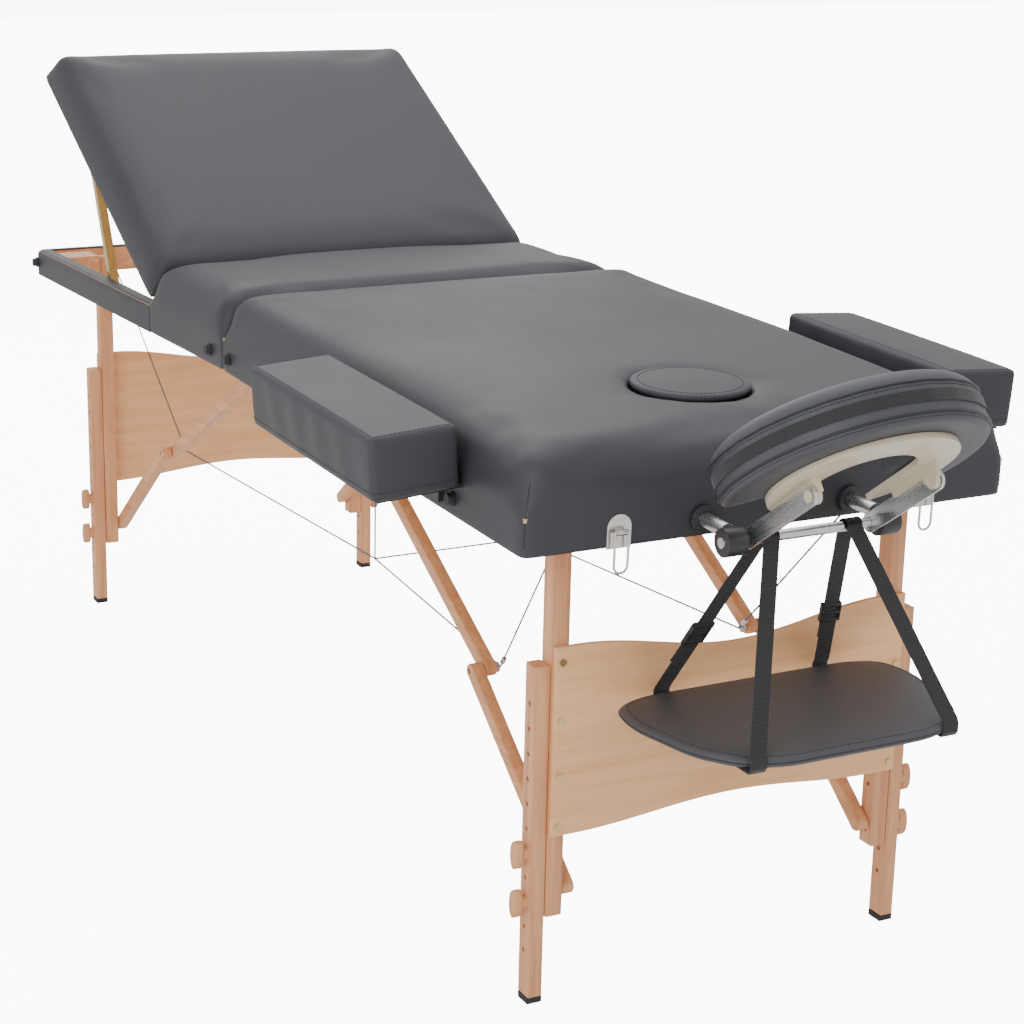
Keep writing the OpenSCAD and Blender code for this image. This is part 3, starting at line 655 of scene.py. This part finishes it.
face = {"lift": 0.0255, "tilt": 36.0, "inner": 0.060, "outer": 0.158, "centre": -0.026, "innerCentre": -0.020,
        "height": 0.068, "open": 122.0, "topRound": 0.026, "lowRound": 0.010}
rivet = Vector(joints["face_plate_tilt"]["pos_m"])
facePlace = (Matrix.Translation((rivet.x, 0, rivet.z)) @ Matrix.Rotation(math.radians(-face["tilt"]), 4, "Y")
             @ Matrix.Translation((0, 0, face["lift"])))


def faceProfile(f):
    # (share of the width, height) round one cut through the pad
    out = []
    for cu, cz, r, start in ((1, f["height"], f["topRound"], 0), (0, f["height"], f["topRound"], 90),
                             (0, 0, f["lowRound"], 180), (1, 0, f["lowRound"], 270)):
        for k in range(6):
            t = math.radians(start + 18 * k)
            u = (-r if cu else r) + r * math.cos(t)
            z = cz + (-r if cz else r) + r * math.sin(t)
            out.append((cu, u, z))
    return out


def faceRing(f, turn, scale, place):
    # the pad's cut at one angle round the horseshoe, shrunk about its middle
    c, s = math.cos(turn), math.sin(turn)
    outer = Vector((f["centre"] + f["outer"] * c, f["outer"] * s, 0))
    inner = Vector((f["innerCentre"] + f["inner"] * c, f["inner"] * s, 0))
    way, ring = (outer - inner).normalized(), []
    middle = (outer + inner) / 2 + Vector((0, 0, f["height"] * 0.5))
    for cu, u, z in faceProfile(f):
        q = (outer if cu else inner) + way * u + Vector((0, 0, z))
        ring.append(place @ (middle + (q - middle) * scale))
    return ring


padEnds = [(0.0, 0.30), (1.2, 0.62), (3.0, 0.84), (5.5, 0.955), (8.5, 1.0)]
half = face["open"]
taper = padEnds[-1][0]
angles = ([(-half + a, k) for a, k in padEnds]
          + [(-half + taper + 2 * (half - taper) * i / 60, 1.0) for i in range(1, 60)]
          + [(half - a, k) for a, k in reversed(padEnds)])
faceCuts = [faceRing(face, math.radians(a), k, facePlace) for a, k in angles]
facePad = loft(faceCuts, "facePad", paddingHide, "face_rest", sharp=80)
for v in facePad.data.vertices:  # small puckers where the cover is gathered
    q = facePlace.inverted() @ v.co
    a = math.atan2(q.y, q.x - face["centre"])
    v.co += (facePlace.to_3x3() @ Vector((math.cos(a), math.sin(a), 0))) * 0.0007 * math.sin(26 * a) \
        * math.sin(math.pi * min(max(q.z / face["height"], 0), 1))
softFace = facePad.modifiers.new("soft", "SUBSURF")
softFace.levels = softFace.render_levels = 1
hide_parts("face_cushion")


def faceLoop(f, radius, z, grow=0.0, step=3, reach=116):
    r = radius + grow
    return [facePlace @ Vector((f["centre"] + r * math.cos(a), r * math.sin(a), z))
            for a in [math.radians(k) for k in range(-reach, reach + 1, step)]]


for tag, z in (("Top", 0.047), ("Low", 0.010)):
    line = onSurface(facePad, faceLoop(face, face["outer"], z), 0.0004)
    tubeAlong(f"facePiping{tag}", line, 0.0017, seamCord, "face_rest")
    seam = faceLoop(face, face["outer"], z - 0.005)
    stitches(f"faceStitches{tag}", facePad, seam, "face_rest", closed=False)
zipBase = onSurface(facePad, faceLoop(face, face["outer"], 0.029), 0.0007)
zipRings = []
lift = facePlace.to_3x3() @ Vector((0, 0, 1))
for i, q in enumerate(zipBase):
    a = math.radians(-116 + 3 * i)
    out = facePlace.to_3x3() @ Vector((math.cos(a), math.sin(a), 0))
    low, high, proud = q - lift * 0.007, q + lift * 0.007, out * 0.0009
    zipRings.append([low, high, high + proud, low + proud])
loft(zipRings, "faceZipTape", tape, "face_rest")
stitches("faceZipTeeth", facePad, faceLoop(face, face["outer"] + 0.004, 0.029), "face_rest", pitch=0.003,
         radius=0.0015, closed=False)
shelfHalf = [(-0.115, 0), (-0.115, 0.150), (-0.098, 0.195), (-0.043, 0.205), (0.057, 0.185), (0.107, 0.150),
             (0.125, 0.100), (0.129, 0)]
shelf = {"thick": 0.014, "low": 0.385, "crown": 0.0025, "corner": 0.022}


def roundedOutline(points, radius, steps=5):
    out = []
    n = len(points)
    for i, q in enumerate(points):
        a, c = Vector(points[i - 1]), Vector(points[(i + 1) % n])
        q = Vector(q)
        u, w = (a - q), (c - q)
        cut = min(radius, u.length * 0.45, w.length * 0.45)
        p0, p1 = q + u.normalized() * cut, q + w.normalized() * cut
        for k in range(steps + 1):
            t = k / steps
            out.append(p0 * (1 - t) ** 2 + q * 2 * t * (1 - t) + p1 * t ** 2)
    return out


axle = Vector(joints["sling_swing"]["pos_m"])
shelfRing = [q for q in shelfHalf[1:-1]] + [(x, -y) for x, y in reversed(shelfHalf[1:-1])]
shelfRing = roundedOutline(shelfRing, shelf["corner"])


def shelfLevel(scale, z):
    return [Vector((axle.x + q.x * scale, q.y * scale, z)) for q in shelfRing]


rings = [shelfLevel(k, shelf["low"] + z) for k, z in
         ((0.02, 0.0), (0.5, 0.0), (0.93, 0.0), (0.975, 0.0012), (0.995, 0.004), (1.0, 0.007),
          (0.995, 0.0100), (0.978, 0.0125), (0.94, 0.0138), (0.80, 0.0148), (0.55, 0.0158),
          (0.28, 0.0163), (0.02, 0.0165))]
shelfPad = loft(rings, "armShelfPad", paddingHide, "arm_sling", sharp=60)
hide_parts("arm_shelf")
stitches("armShelfStitches", shelfPad, shelfLevel(0.955, shelf["low"] + 0.0140), "arm_sling")
shelfSeam = shelfLevel(1.0, shelf["low"] + 0.007)
stitches("armShelfSeam", shelfPad, shelfSeam, "arm_sling", pitch=0.004, radius=0.0009)

print("turning the face plug")
plugSet = {"x": 0.730, "radius": 0.0725, "lip": 0.0752, "lipBottom": 0.1195, "top": 0.1315, "edge": 0.0045}
def makePlug(s):
    bm = bmesh.new()
    ring = [(0.0, 0.050), (s["radius"] - 0.004, 0.050), (s["radius"], 0.054), (s["radius"], s["lipBottom"]),
            (s["lip"] - 0.002, s["lipBottom"])]
    for i in range(7):
        a = math.radians(-90 + 30 * i)
        ring.append((s["lip"] - s["edge"] * 0.9 + s["edge"] * math.cos(a),
                     s["lipBottom"] + s["edge"] + s["edge"] * math.sin(a)))
    for i in range(1, 9):
        t = i / 8
        ring.append(((s["lip"] - s["edge"]) * (1 - t), s["lipBottom"] + 2 * s["edge"]
                     + (s["top"] - s["lipBottom"] - 2 * s["edge"]) * math.sin(t * math.pi / 2)))
    verts = [bm.verts.new((r, 0, z)) for r, z in ring]
    edges = [bm.edges.new(pair) for pair in zip(verts, verts[1:])]
    bmesh.ops.spin(bm, geom=verts + edges, cent=(0, 0, 0), axis=(0, 0, 1), angle=2 * math.pi,
                   steps=72, use_merge=True, use_duplicate=False)
    bmesh.ops.remove_doubles(bm, verts=bm.verts, dist=1e-5)
    bmesh.ops.recalc_face_normals(bm, faces=bm.faces)
    bmesh.ops.translate(bm, vec=(s["x"], 0, 0), verts=bm.verts)
    return objectFrom(bm, "facePlugPad", slate, "face_plug", headPlace)


plugPad = makePlug(plugSet)
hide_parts("face_plug")
plugSeam = 0.066
plugCircle = [headPlace @ Vector((plugSet["x"] + plugSeam * math.cos(a), plugSeam * math.sin(a),
                                  plugSet["top"] - 0.001)) for a in [2 * math.pi * i / 96 for i in range(96)]]
stitches("facePlugStitches", plugPad, plugCircle, "face_plug")


# Wood and metal parts
print("dressing the wood and metal")
def dress(names, material, bevel=0.0012):
    for n in names:
        o = nodes[n]
        if not o.data.materials:
            o.data.materials.append(material)
        for i in range(len(o.material_slots)):
            o.material_slots[i].material = material
        if bevel:
            weld = o.modifiers.new("weld", "WELD")
            weld.merge_threshold = 0.00002
            edge = o.modifiers.new("edge", "BEVEL")
            edge.width, edge.segments, edge.limit_method = bevel, 2, "ANGLE"
            edge.angle_limit = math.radians(40)
            edge.harden_normals = False


ends, sides = ("head", "foot"), ("left", "right")
legs = {"half": 0.013, "inner": (0.232, 0.256), "outer": (0.2565, 0.2775), "pin": 0.0041, "bolt": 0.0033,
        "holeTop": 0.393, "pitch": 0.0323, "bevel": 0.0022}
braces = {"half": 0.010, "upper": (0.194, 0.212), "lower": (0.213, 0.231), "bevel": 0.0025}


def plank(outline, y0, y1, bevel, axis="Y"):
    # an outline in the XZ plane given depth along Y, with softened arrises
    bm = bmesh.new()
    face = bm.faces.new([bm.verts.new((x, y0, z)) for x, z in outline])
    made = bmesh.ops.extrude_face_region(bm, geom=[face])["geom"]
    far = [v for v in made if isinstance(v, bmesh.types.BMVert)]
    bmesh.ops.translate(bm, vec=(0, y1 - y0, 0), verts=far)
    bmesh.ops.recalc_face_normals(bm, faces=bm.faces)
    caps = [e for e in bm.edges if any(abs(f.normal.y) > 0.9 for f in e.link_faces)]
    bevelEdges(bm, caps, bevel, 2)
    if axis == "X":
        swap = Matrix(((0, 1, 0, 0), (1, 0, 0, 0), (0, 0, 1, 0), (0, 0, 0, 1)))
        bmesh.ops.transform(bm, matrix=swap, verts=bm.verts)
        bmesh.ops.recalc_face_normals(bm, faces=bm.faces)
    return bm


def drill(piece, bores, axis="Y"):
    # bores are (x, y, z, radius), each right through
    cut = bmesh.new()
    turn = Matrix.Rotation(math.radians(90), 4, "X" if axis == "Y" else "Y")
    for x, y, z, r in bores:
        bmesh.ops.create_cone(cut, cap_ends=True, segments=20, radius1=r, radius2=r, depth=0.05,
                              matrix=Matrix.Translation((x, y, z)) @ turn)
    tool = objectFrom(cut, "drillBits", nylon, None)
    b = piece.modifiers.new("bores", "BOOLEAN")
    b.operation, b.solver, b.object = "DIFFERENCE", "EXACT", tool
    applyModifiers(piece)
    bpy.data.objects.remove(tool)
    piece.data.set_sharp_from_angle(angle=math.radians(40))


def stadium(a, b, half):
    way = math.atan2(b[1] - a[1], b[0] - a[0])
    arcs = [(a, way + math.radians(90 + 12 * i)) for i in range(16)] + \
           [(b, way + math.radians(-90 + 12 * i)) for i in range(16)]
    return [(c[0] + half * math.cos(t), c[1] + half * math.sin(t)) for c, t in arcs]


def roundTop(x, half, low, high):
    arc = [math.radians(10 * i) for i in range(19)]
    cap = [(x + half * math.cos(t), high + half * math.sin(t)) for t in arc]
    return [(x - half, low), (x + half, low)] + cap


print("cutting the legs and braces")
knobSet = {"holes": (6, 8), "wingY": (0.2830, 0.2960), "bevel": 0.0028, "wing": (0.0085, 0.0185),
           "pinch": 0.10, "hubRadius": 0.009, "hubDepth": 0.0065, "hubY": 0.28075, "boltRadius": 0.003,
           "boltDepth": 0.0214, "boltY": 0.2676}
panelSet = {"half": 0.255, "step": 0.01, "reach": 0.225, "dip": 0.027, "rise": 0.015, "bevel": 0.0016,
            "screwY": 0.246, "screwZ": (0.236, 0.301, 0.372, 0.447), "screw": 0.0021}


def wingOutline(x, z):
    # a knob's turned wings, seen from the side
    rx, rz = knobSet["wing"]
    k = knobSet["pinch"]
    return [(x + rx * math.cos(t) * (1 + k * abs(math.sin(t))), z + rz * math.sin(t)
             * (1 - k * math.cos(t) ** 2)) for t in [math.radians(12 * j) for j in range(30)]]


def dip(y):
    # the share of a panel's edge curve at one place across it
    return 0.5 + 0.5 * math.cos(math.pi * min(1, abs(y) / panelSet["reach"]))


for e in ends:
    low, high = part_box(f"{e}_upper_legs")
    x = (low[0] + high[0]) / 2
    top = high[2] - legs["half"]
    pivot = joints[f"{e}_leg_fold"]["pos_m"]
    framePin = joints[f"{e}_upper_brace_fold"]["pos_m"]
    legPin = joints[f"{e}_lower_brace_fold"]["pos_m"]
    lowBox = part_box(f"{e}_lower_braces")
    kneeX = lowBox[0][0] + braces["half"] if e == "head" else lowBox[1][0] - braces["half"]
    knee = (kneeX, lowBox[1][2] - braces["half"])
    links = {"upper": ((framePin[0], framePin[2]), knee), "lower": (knee, (legPin[0], legPin[2]))}
    for way in (1, -1):
        side = "left" if way == 1 else "right"
        y0, y1 = legs["inner"]
        leg = objectFrom(plank(roundTop(x, legs["half"], low[2], top), way * y0, way * y1, legs["bevel"]),
                         f"{e}UpperLeg{side.title()}", beechUp, f"{e}_legs")
        mid = way * (y0 + y1) / 2
        holes = [(x, mid, legs["holeTop"] - legs["pitch"] * i, legs["bolt"]) for i in knobSet["holes"]]
        drill(leg, holes + [(x, mid, legPin[2], legs["pin"]), (x, mid, top, legs["pin"])])
        y0, y1 = legs["outer"]
        lb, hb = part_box(f"{e}_{side}_lower_leg")
        shape = [(lb[0], lb[2]), (hb[0], lb[2]), (hb[0], hb[2]), (lb[0], hb[2])]
        leg = objectFrom(plank(shape, way * y0, way * y1, legs["bevel"]),
                         f"{e}LowerLeg{side.title()}", beechUp, f"{e}_{side}_lower_leg")
        mid = way * (y0 + y1) / 2
        drill(leg, [(x, mid, legs["holeTop"] - legs["pitch"] * i, legs["bolt"]) for i in range(11)])
        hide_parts(f"{e}_{side}_lower_leg")
        for k, (a, b) in links.items():
            y0, y1 = braces[k]
            arm = objectFrom(plank(stadium(a, b, braces["half"]), way * y0, way * y1, braces["bevel"]),
                             f"{e}{k.title()}Brace{side.title()}", beechLong, f"{e}_{k}_braces")
            drill(arm, [(q[0], way * (y0 + y1) / 2, q[1], legs["pin"]) for q in (a, b)])
        body = f"{e}_{side}_lower_leg"
        across = Matrix.Rotation(math.radians(90), 4, "X")
        for i in knobSet["holes"]:
            z = legs["holeTop"] - legs["pitch"] * i
            tag = f"{side.title()}{i}"
            w0, w1 = knobSet["wingY"]
            knob = objectFrom(plank(wingOutline(x, z), way * w0, way * w1, knobSet["bevel"]),
                              f"{e}Knob{tag}", beechUp, body)
            r = knobSet["hubRadius"]
            hub = bmesh.new()
            bmesh.ops.create_cone(hub, cap_ends=True, segments=32, radius1=r, radius2=r,
                                  depth=knobSet["hubDepth"],
                                  matrix=Matrix.Translation((x, way * knobSet["hubY"], z)) @ across)
            hubPiece = objectFrom(hub, f"{e}KnobHub{tag}", beechUp, body)
            hubPiece.data.set_sharp_from_angle(angle=math.radians(40))
            r = knobSet["boltRadius"]
            shank = bmesh.new()
            bmesh.ops.create_cone(shank, cap_ends=True, segments=20, radius1=r, radius2=r,
                                  depth=knobSet["boltDepth"],
                                  matrix=Matrix.Translation((x, way * knobSet["boltY"], z)) @ across)
            shankPiece = objectFrom(shank, f"{e}KnobBolt{tag}", zincSteel, body)
            for q in (knob, hubPiece, shankPiece):
                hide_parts(f"{e}_{side}_knobs")
    panelLow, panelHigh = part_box(f"{e}_end_panel")
    ys = [-panelSet["half"] + panelSet["step"] * i for i in range(52)]
    topEdge = [(y, panelHigh[2] - panelSet["dip"] * dip(y)) for y in ys]
    lowEdge = [(y, panelLow[2] + panelSet["rise"] * dip(y)) for y in reversed(ys)]
    panel = objectFrom(plank(topEdge + lowEdge, panelLow[0], panelHigh[0], panelSet["bevel"], axis="X"),
                       f"{e}EndPanel", beechPanel, f"{e}_legs")
    drill(panel, [((panelLow[0] + panelHigh[0]) / 2, w * panelSet["screwY"], z, panelSet["screw"])
                  for w in (1, -1) for z in panelSet["screwZ"]], axis="X")
    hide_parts(f"{e}_end_panel")
    made = {k: [o for o in scene.objects if o.name.startswith(k)] for k in
            (f"{e}UpperLeg", f"{e}UpperBrace", f"{e}LowerBrace")}
    for o in made[f"{e}UpperLeg"]:
        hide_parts(f"{e}_upper_legs")
    for k in ("Upper", "Lower"):
        for o in made[f"{e}{k}Brace"]:
            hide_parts(f"{e}_{k.lower()}_braces")

dress(["head_frame", "foot_frame"], beechLong, 0.0)
dress(["head_deck", "backrest_board"], deckPly, 0.0)
dress([f"{e}_{s}_foot" for e in ends for s in sides] + ["head_bumpers", "foot_bumpers"], rubber, 0.0015)
dress(["rod_sockets", "cradle_knobs", "strut_brackets", "armrest_mounts_left", "armrest_mounts_right"],
      nylon, 0.001)
dress(["head_hinge_leaves", "foot_hinge_leaves", "backrest_hinges", "head_brace_bolts", "foot_brace_bolts",
       "latch_catches"], zincSteel, 0.0004)
dress(["latch_plates", "latch_bail_left", "latch_bail_right"], nickel, 0.0004)
dress(["support_struts", "head_leg_screws", "foot_leg_screws"], brass, 0.0005)
dress(["cradle_bars", "cradle_arms"], satinAlu, 0.0006)
dress(["face_plate"], shellBeige, 0.002)
dress(["head_carry_handle", "foot_carry_handle"], tape, 0.0006)

print("hanging the sling and the cables")


def ribbon(name, path, width, thick, material, body, across=(0, 1, 0)):
    # a flat band swept along a path, its width kept along one direction
    wide = Vector(across).normalized()
    pts = [Vector(q) for q in path]
    rings = []
    for i, q in enumerate(pts):
        way = (pts[min(i + 1, len(pts) - 1)] - pts[max(i - 1, 0)]).normalized()
        out = way.cross(wide).normalized() * (thick / 2)
        w = wide * (width / 2)
        rings.append([q - w - out, q + w - out, q + w + out, q - w + out])
    return loft(rings, name, material, body, sharp=30)


strapSet = {"width": 0.022, "thick": 0.0016, "y": 0.058, "front": (0.104, 0.134), "back": (-0.108, 0.116),
            "under": 0.383}


def strapPath(dx, y0, y1, s):
    # from the loop round the bar down to the shelf's edge and a little way under it
    r = 0.0085
    top = [(axle.x + r * math.cos(t) * (1 if dx > 0 else -1), y0, axle.z + r * math.sin(t))
           for t in [math.radians(a) for a in range(200, -20, -20)]]
    start, end = Vector(top[-1]), Vector((axle.x + dx * 1.10, y1, 0.404))
    down = [tuple(start.lerp(end, i / 10)) for i in range(1, 11)]
    edge = [(axle.x + dx * 1.13, y1, 0.398), (axle.x + dx * 1.13, y1, 0.388),
            (axle.x + dx * 1.10, y1, s["under"]), (axle.x + dx * 0.8, y1, s["under"])]
    return top + down + edge


for way in (1, -1):
    side = "Left" if way == 1 else "Right"
    for tag in ("front", "back"):
        dx, y1 = strapSet[tag]
        path = strapPath(dx, way * strapSet["y"], way * y1, strapSet)
        band = ribbon(f"slingStrap{tag.title()}{side}", path, strapSet["width"], strapSet["thick"], tape,
                      "arm_sling")
        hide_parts("sling_straps")
        if tag == "back":
            a, b = Vector(path[11]), Vector(path[20])
            spot = a.lerp(b, 0.6)
            along = (b - a).normalized()
            facing = along.cross(Vector((0, 1, 0))).normalized()
            turned = Matrix((along, Vector((0, 1, 0)), -facing)).transposed().to_4x4()
            frameAt = Matrix.Translation(spot) @ turned
            for i, (x0, x1) in enumerate(((-0.016, -0.012), (-0.003, 0.002), (0.011, 0.016))):
                bar = boxMesh((x0, -0.0145, -0.003), (x1, 0.0145, 0.004))
                bevelEdges(bar, bar.edges[:], 0.001, 2)
                objectFrom(bar, f"ladderLock{side}Bar{i}", nylon, "arm_sling", frameAt)
            for i, y in enumerate((-0.0145, 0.0115)):
                bar = boxMesh((-0.016, y, -0.003), (0.016, y + 0.003, 0.004))
                bevelEdges(bar, bar.edges[:], 0.001, 2)
                objectFrom(bar, f"ladderLock{side}Side{i}", nylon, "arm_sling", frameAt)
            tail = [spot + along * t - facing * (0.002 + 0.02 * abs(t))
                    for t in (0.0, 0.012, 0.024, 0.036, 0.048)]
            ribbon(f"slingTail{side}", tail, strapSet["width"], strapSet["thick"],
                   tape, "arm_sling")

rope = {"radius": 0.00135, "eyeIn": 0.185, "node": (0.085, 0.133, 0.335), "deckEye": 0.661, "eyeY": 0.2245}


def ropeRun(name, a, b, body, joint=None):
    steps = 24
    pts = [Vector(a).lerp(Vector(b), i / steps) for i in range(steps + 1)]
    piece = tubeAlong(name, pts, rope["radius"], ropeSteel, body)
    if joint:
        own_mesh(piece)
    return piece


def crimp(name, spot, body, along=(0, 0, 1)):
    bm = bmesh.new()
    turn = Vector(along).to_track_quat("Z", "Y").to_matrix().to_4x4()
    bmesh.ops.create_cone(bm, cap_ends=True, segments=24, radius1=0.0034, radius2=0.0034, depth=0.012,
                          matrix=Matrix.Translation(spot) @ turn)
    rims = [e for e in bm.edges if len(e.link_faces) == 2 and any(len(f.verts) > 4 for f in e.link_faces)]
    bevelEdges(bm, rims, 0.0008, 2)
    return objectFrom(bm, name, satinAlu, body)


for way in (1, -1):
    side = "Left" if way == 1 else "Right"
    node = Vector((midPoint.x + rope["node"][0], way * rope["node"][1], rope["node"][2]))
    deckEye = Vector((node.x, node.y, rope["deckEye"]))
    q = ropeRun(f"deckRope{side}", deckEye, node, "head_half", "head_leg_fold")
    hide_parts("truss_cables")
    for e, sign in (("head", 1), ("foot", -1)):
        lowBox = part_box(f"{e}_lower_braces")
        kx = lowBox[0][0] + 0.010 if e == "head" else lowBox[1][0] - 0.010
        kneeEye = Vector((kx, way * rope["eyeIn"], lowBox[1][2] - 0.010))
        pivot = joints[f"{e}_leg_fold"]["pos_m"]
        frameEye = Vector((pivot[0], way * rope["eyeY"], pivot[2]))
        a = ropeRun(f"{e}TrussRope{side}", node, kneeEye, f"{e}_half", f"{e}_leg_fold")
        b = ropeRun(f"{e}StayRope{side}", kneeEye, frameEye, f"{e}_half", f"{e}_leg_fold")
        c = crimp(f"{e}KneeCrimp{side}", kneeEye.lerp(frameEye, 0.04), f"{e}_half", frameEye - kneeEye)
        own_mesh(c)
ropeRun("crossRope", (node.x, -rope["node"][1], node.z), (node.x, rope["node"][1], node.z), "head_half",
        "head_leg_fold")
# Camera, light and floor
print("setting the camera and the light")
view = {"focal": 81.39, "yaw": -28.08, "pitch": 16.38, "roll": 1.31, "place": (3.1088, -1.5146, 1.3882)}


def makeCamera(v):
    yaw, pitch, roll = (math.radians(v[k]) for k in ("yaw", "pitch", "roll"))
    ahead = Vector((-math.cos(yaw) * math.cos(pitch), -math.sin(yaw) * math.cos(pitch), -math.sin(pitch)))
    right = ahead.cross(Vector((0, 0, 1))).normalized()
    up = right.cross(ahead)
    x = right * math.cos(roll) + up * math.sin(roll)
    y = right * -math.sin(roll) + up * math.cos(roll)
    data = bpy.data.cameras.new("camera")
    data.lens, data.sensor_width, data.clip_end = v["focal"], 36, 50
    cam = bpy.data.objects.new("camera", data)
    turn = Matrix((x, y, -ahead)).transposed().to_4x4()
    cam.matrix_world = Matrix.Translation(Vector(v["place"]) + Vector((midPoint.x, 0, 0))) @ turn
    scene.collection.objects.link(cam)
    scene.camera = cam


def areaLight(name, place, aim, size, power):
    data = bpy.data.lights.new(name, "AREA")
    data.shape, data.size, data.energy = "SQUARE", size, power
    lamp = bpy.data.objects.new(name, data)
    lamp.location = place
    lamp.rotation_euler = (Vector(aim) - Vector(place)).to_track_quat("-Z", "Y").to_euler()
    scene.collection.objects.link(lamp)


makeCamera(view)
world = bpy.data.worlds.new("studio") if not scene.world else scene.world
scene.world = world
world.use_nodes = True
world.node_tree.nodes["Background"].inputs[0].default_value = (1, 1, 1, 1)
world.node_tree.nodes["Background"].inputs[1].default_value = 1.0
paper = world.node_tree.nodes.new("ShaderNodeBackground")
paper.inputs[1].default_value = 11.0
sight = world.node_tree.nodes.new("ShaderNodeLightPath")
both = world.node_tree.nodes.new("ShaderNodeMixShader")
worldOut = world.node_tree.nodes["World Output"]
world.node_tree.links.new(sight.outputs["Is Camera Ray"], both.inputs[0])
world.node_tree.links.new(world.node_tree.nodes["Background"].outputs[0], both.inputs[1])
world.node_tree.links.new(paper.outputs[0], both.inputs[2])
world.node_tree.links.new(both.outputs[0], worldOut.inputs["Surface"])
areaLight("overheadSoft", (-0.8, 0.6, 3.4), (0, 0, 0.5), 3.0, 40)
areaLight("frontSoft", (2.6, -3.0, 2.2), (0.2, 0, 0.5), 2.0, 45)
areaLight("backSoft", (-3.4, 0.8, 2.4), (0, 0, 0.7), 2.4, 25)

def paleFloor():
    # an even white paper sweep
    m, t, s = startMaterial("paleFloor")
    s.inputs["Base Color"].default_value = (0.93, 0.93, 0.93, 1)
    s.inputs["Roughness"].default_value = 0.9
    s.inputs["Specular IOR Level"].default_value = 0.1
    s.inputs["Emission Color"].default_value = (1, 1, 1, 1)
    sight = t.nodes.new("ShaderNodeLightPath")
    glow = addNode(t, "ShaderNodeMath", operation="MULTIPLY")
    glow.inputs[1].default_value = 10.0
    t.links.new(sight.outputs["Is Camera Ray"], glow.inputs[0])
    t.links.new(glow.outputs[0], s.inputs["Emission Strength"])
    return m


floorMesh = boxMesh((-14, -14, -0.02), (14, 14, 0))
floor = objectFrom(floorMesh, "studioFloor", paleFloor(), None)

print("done")
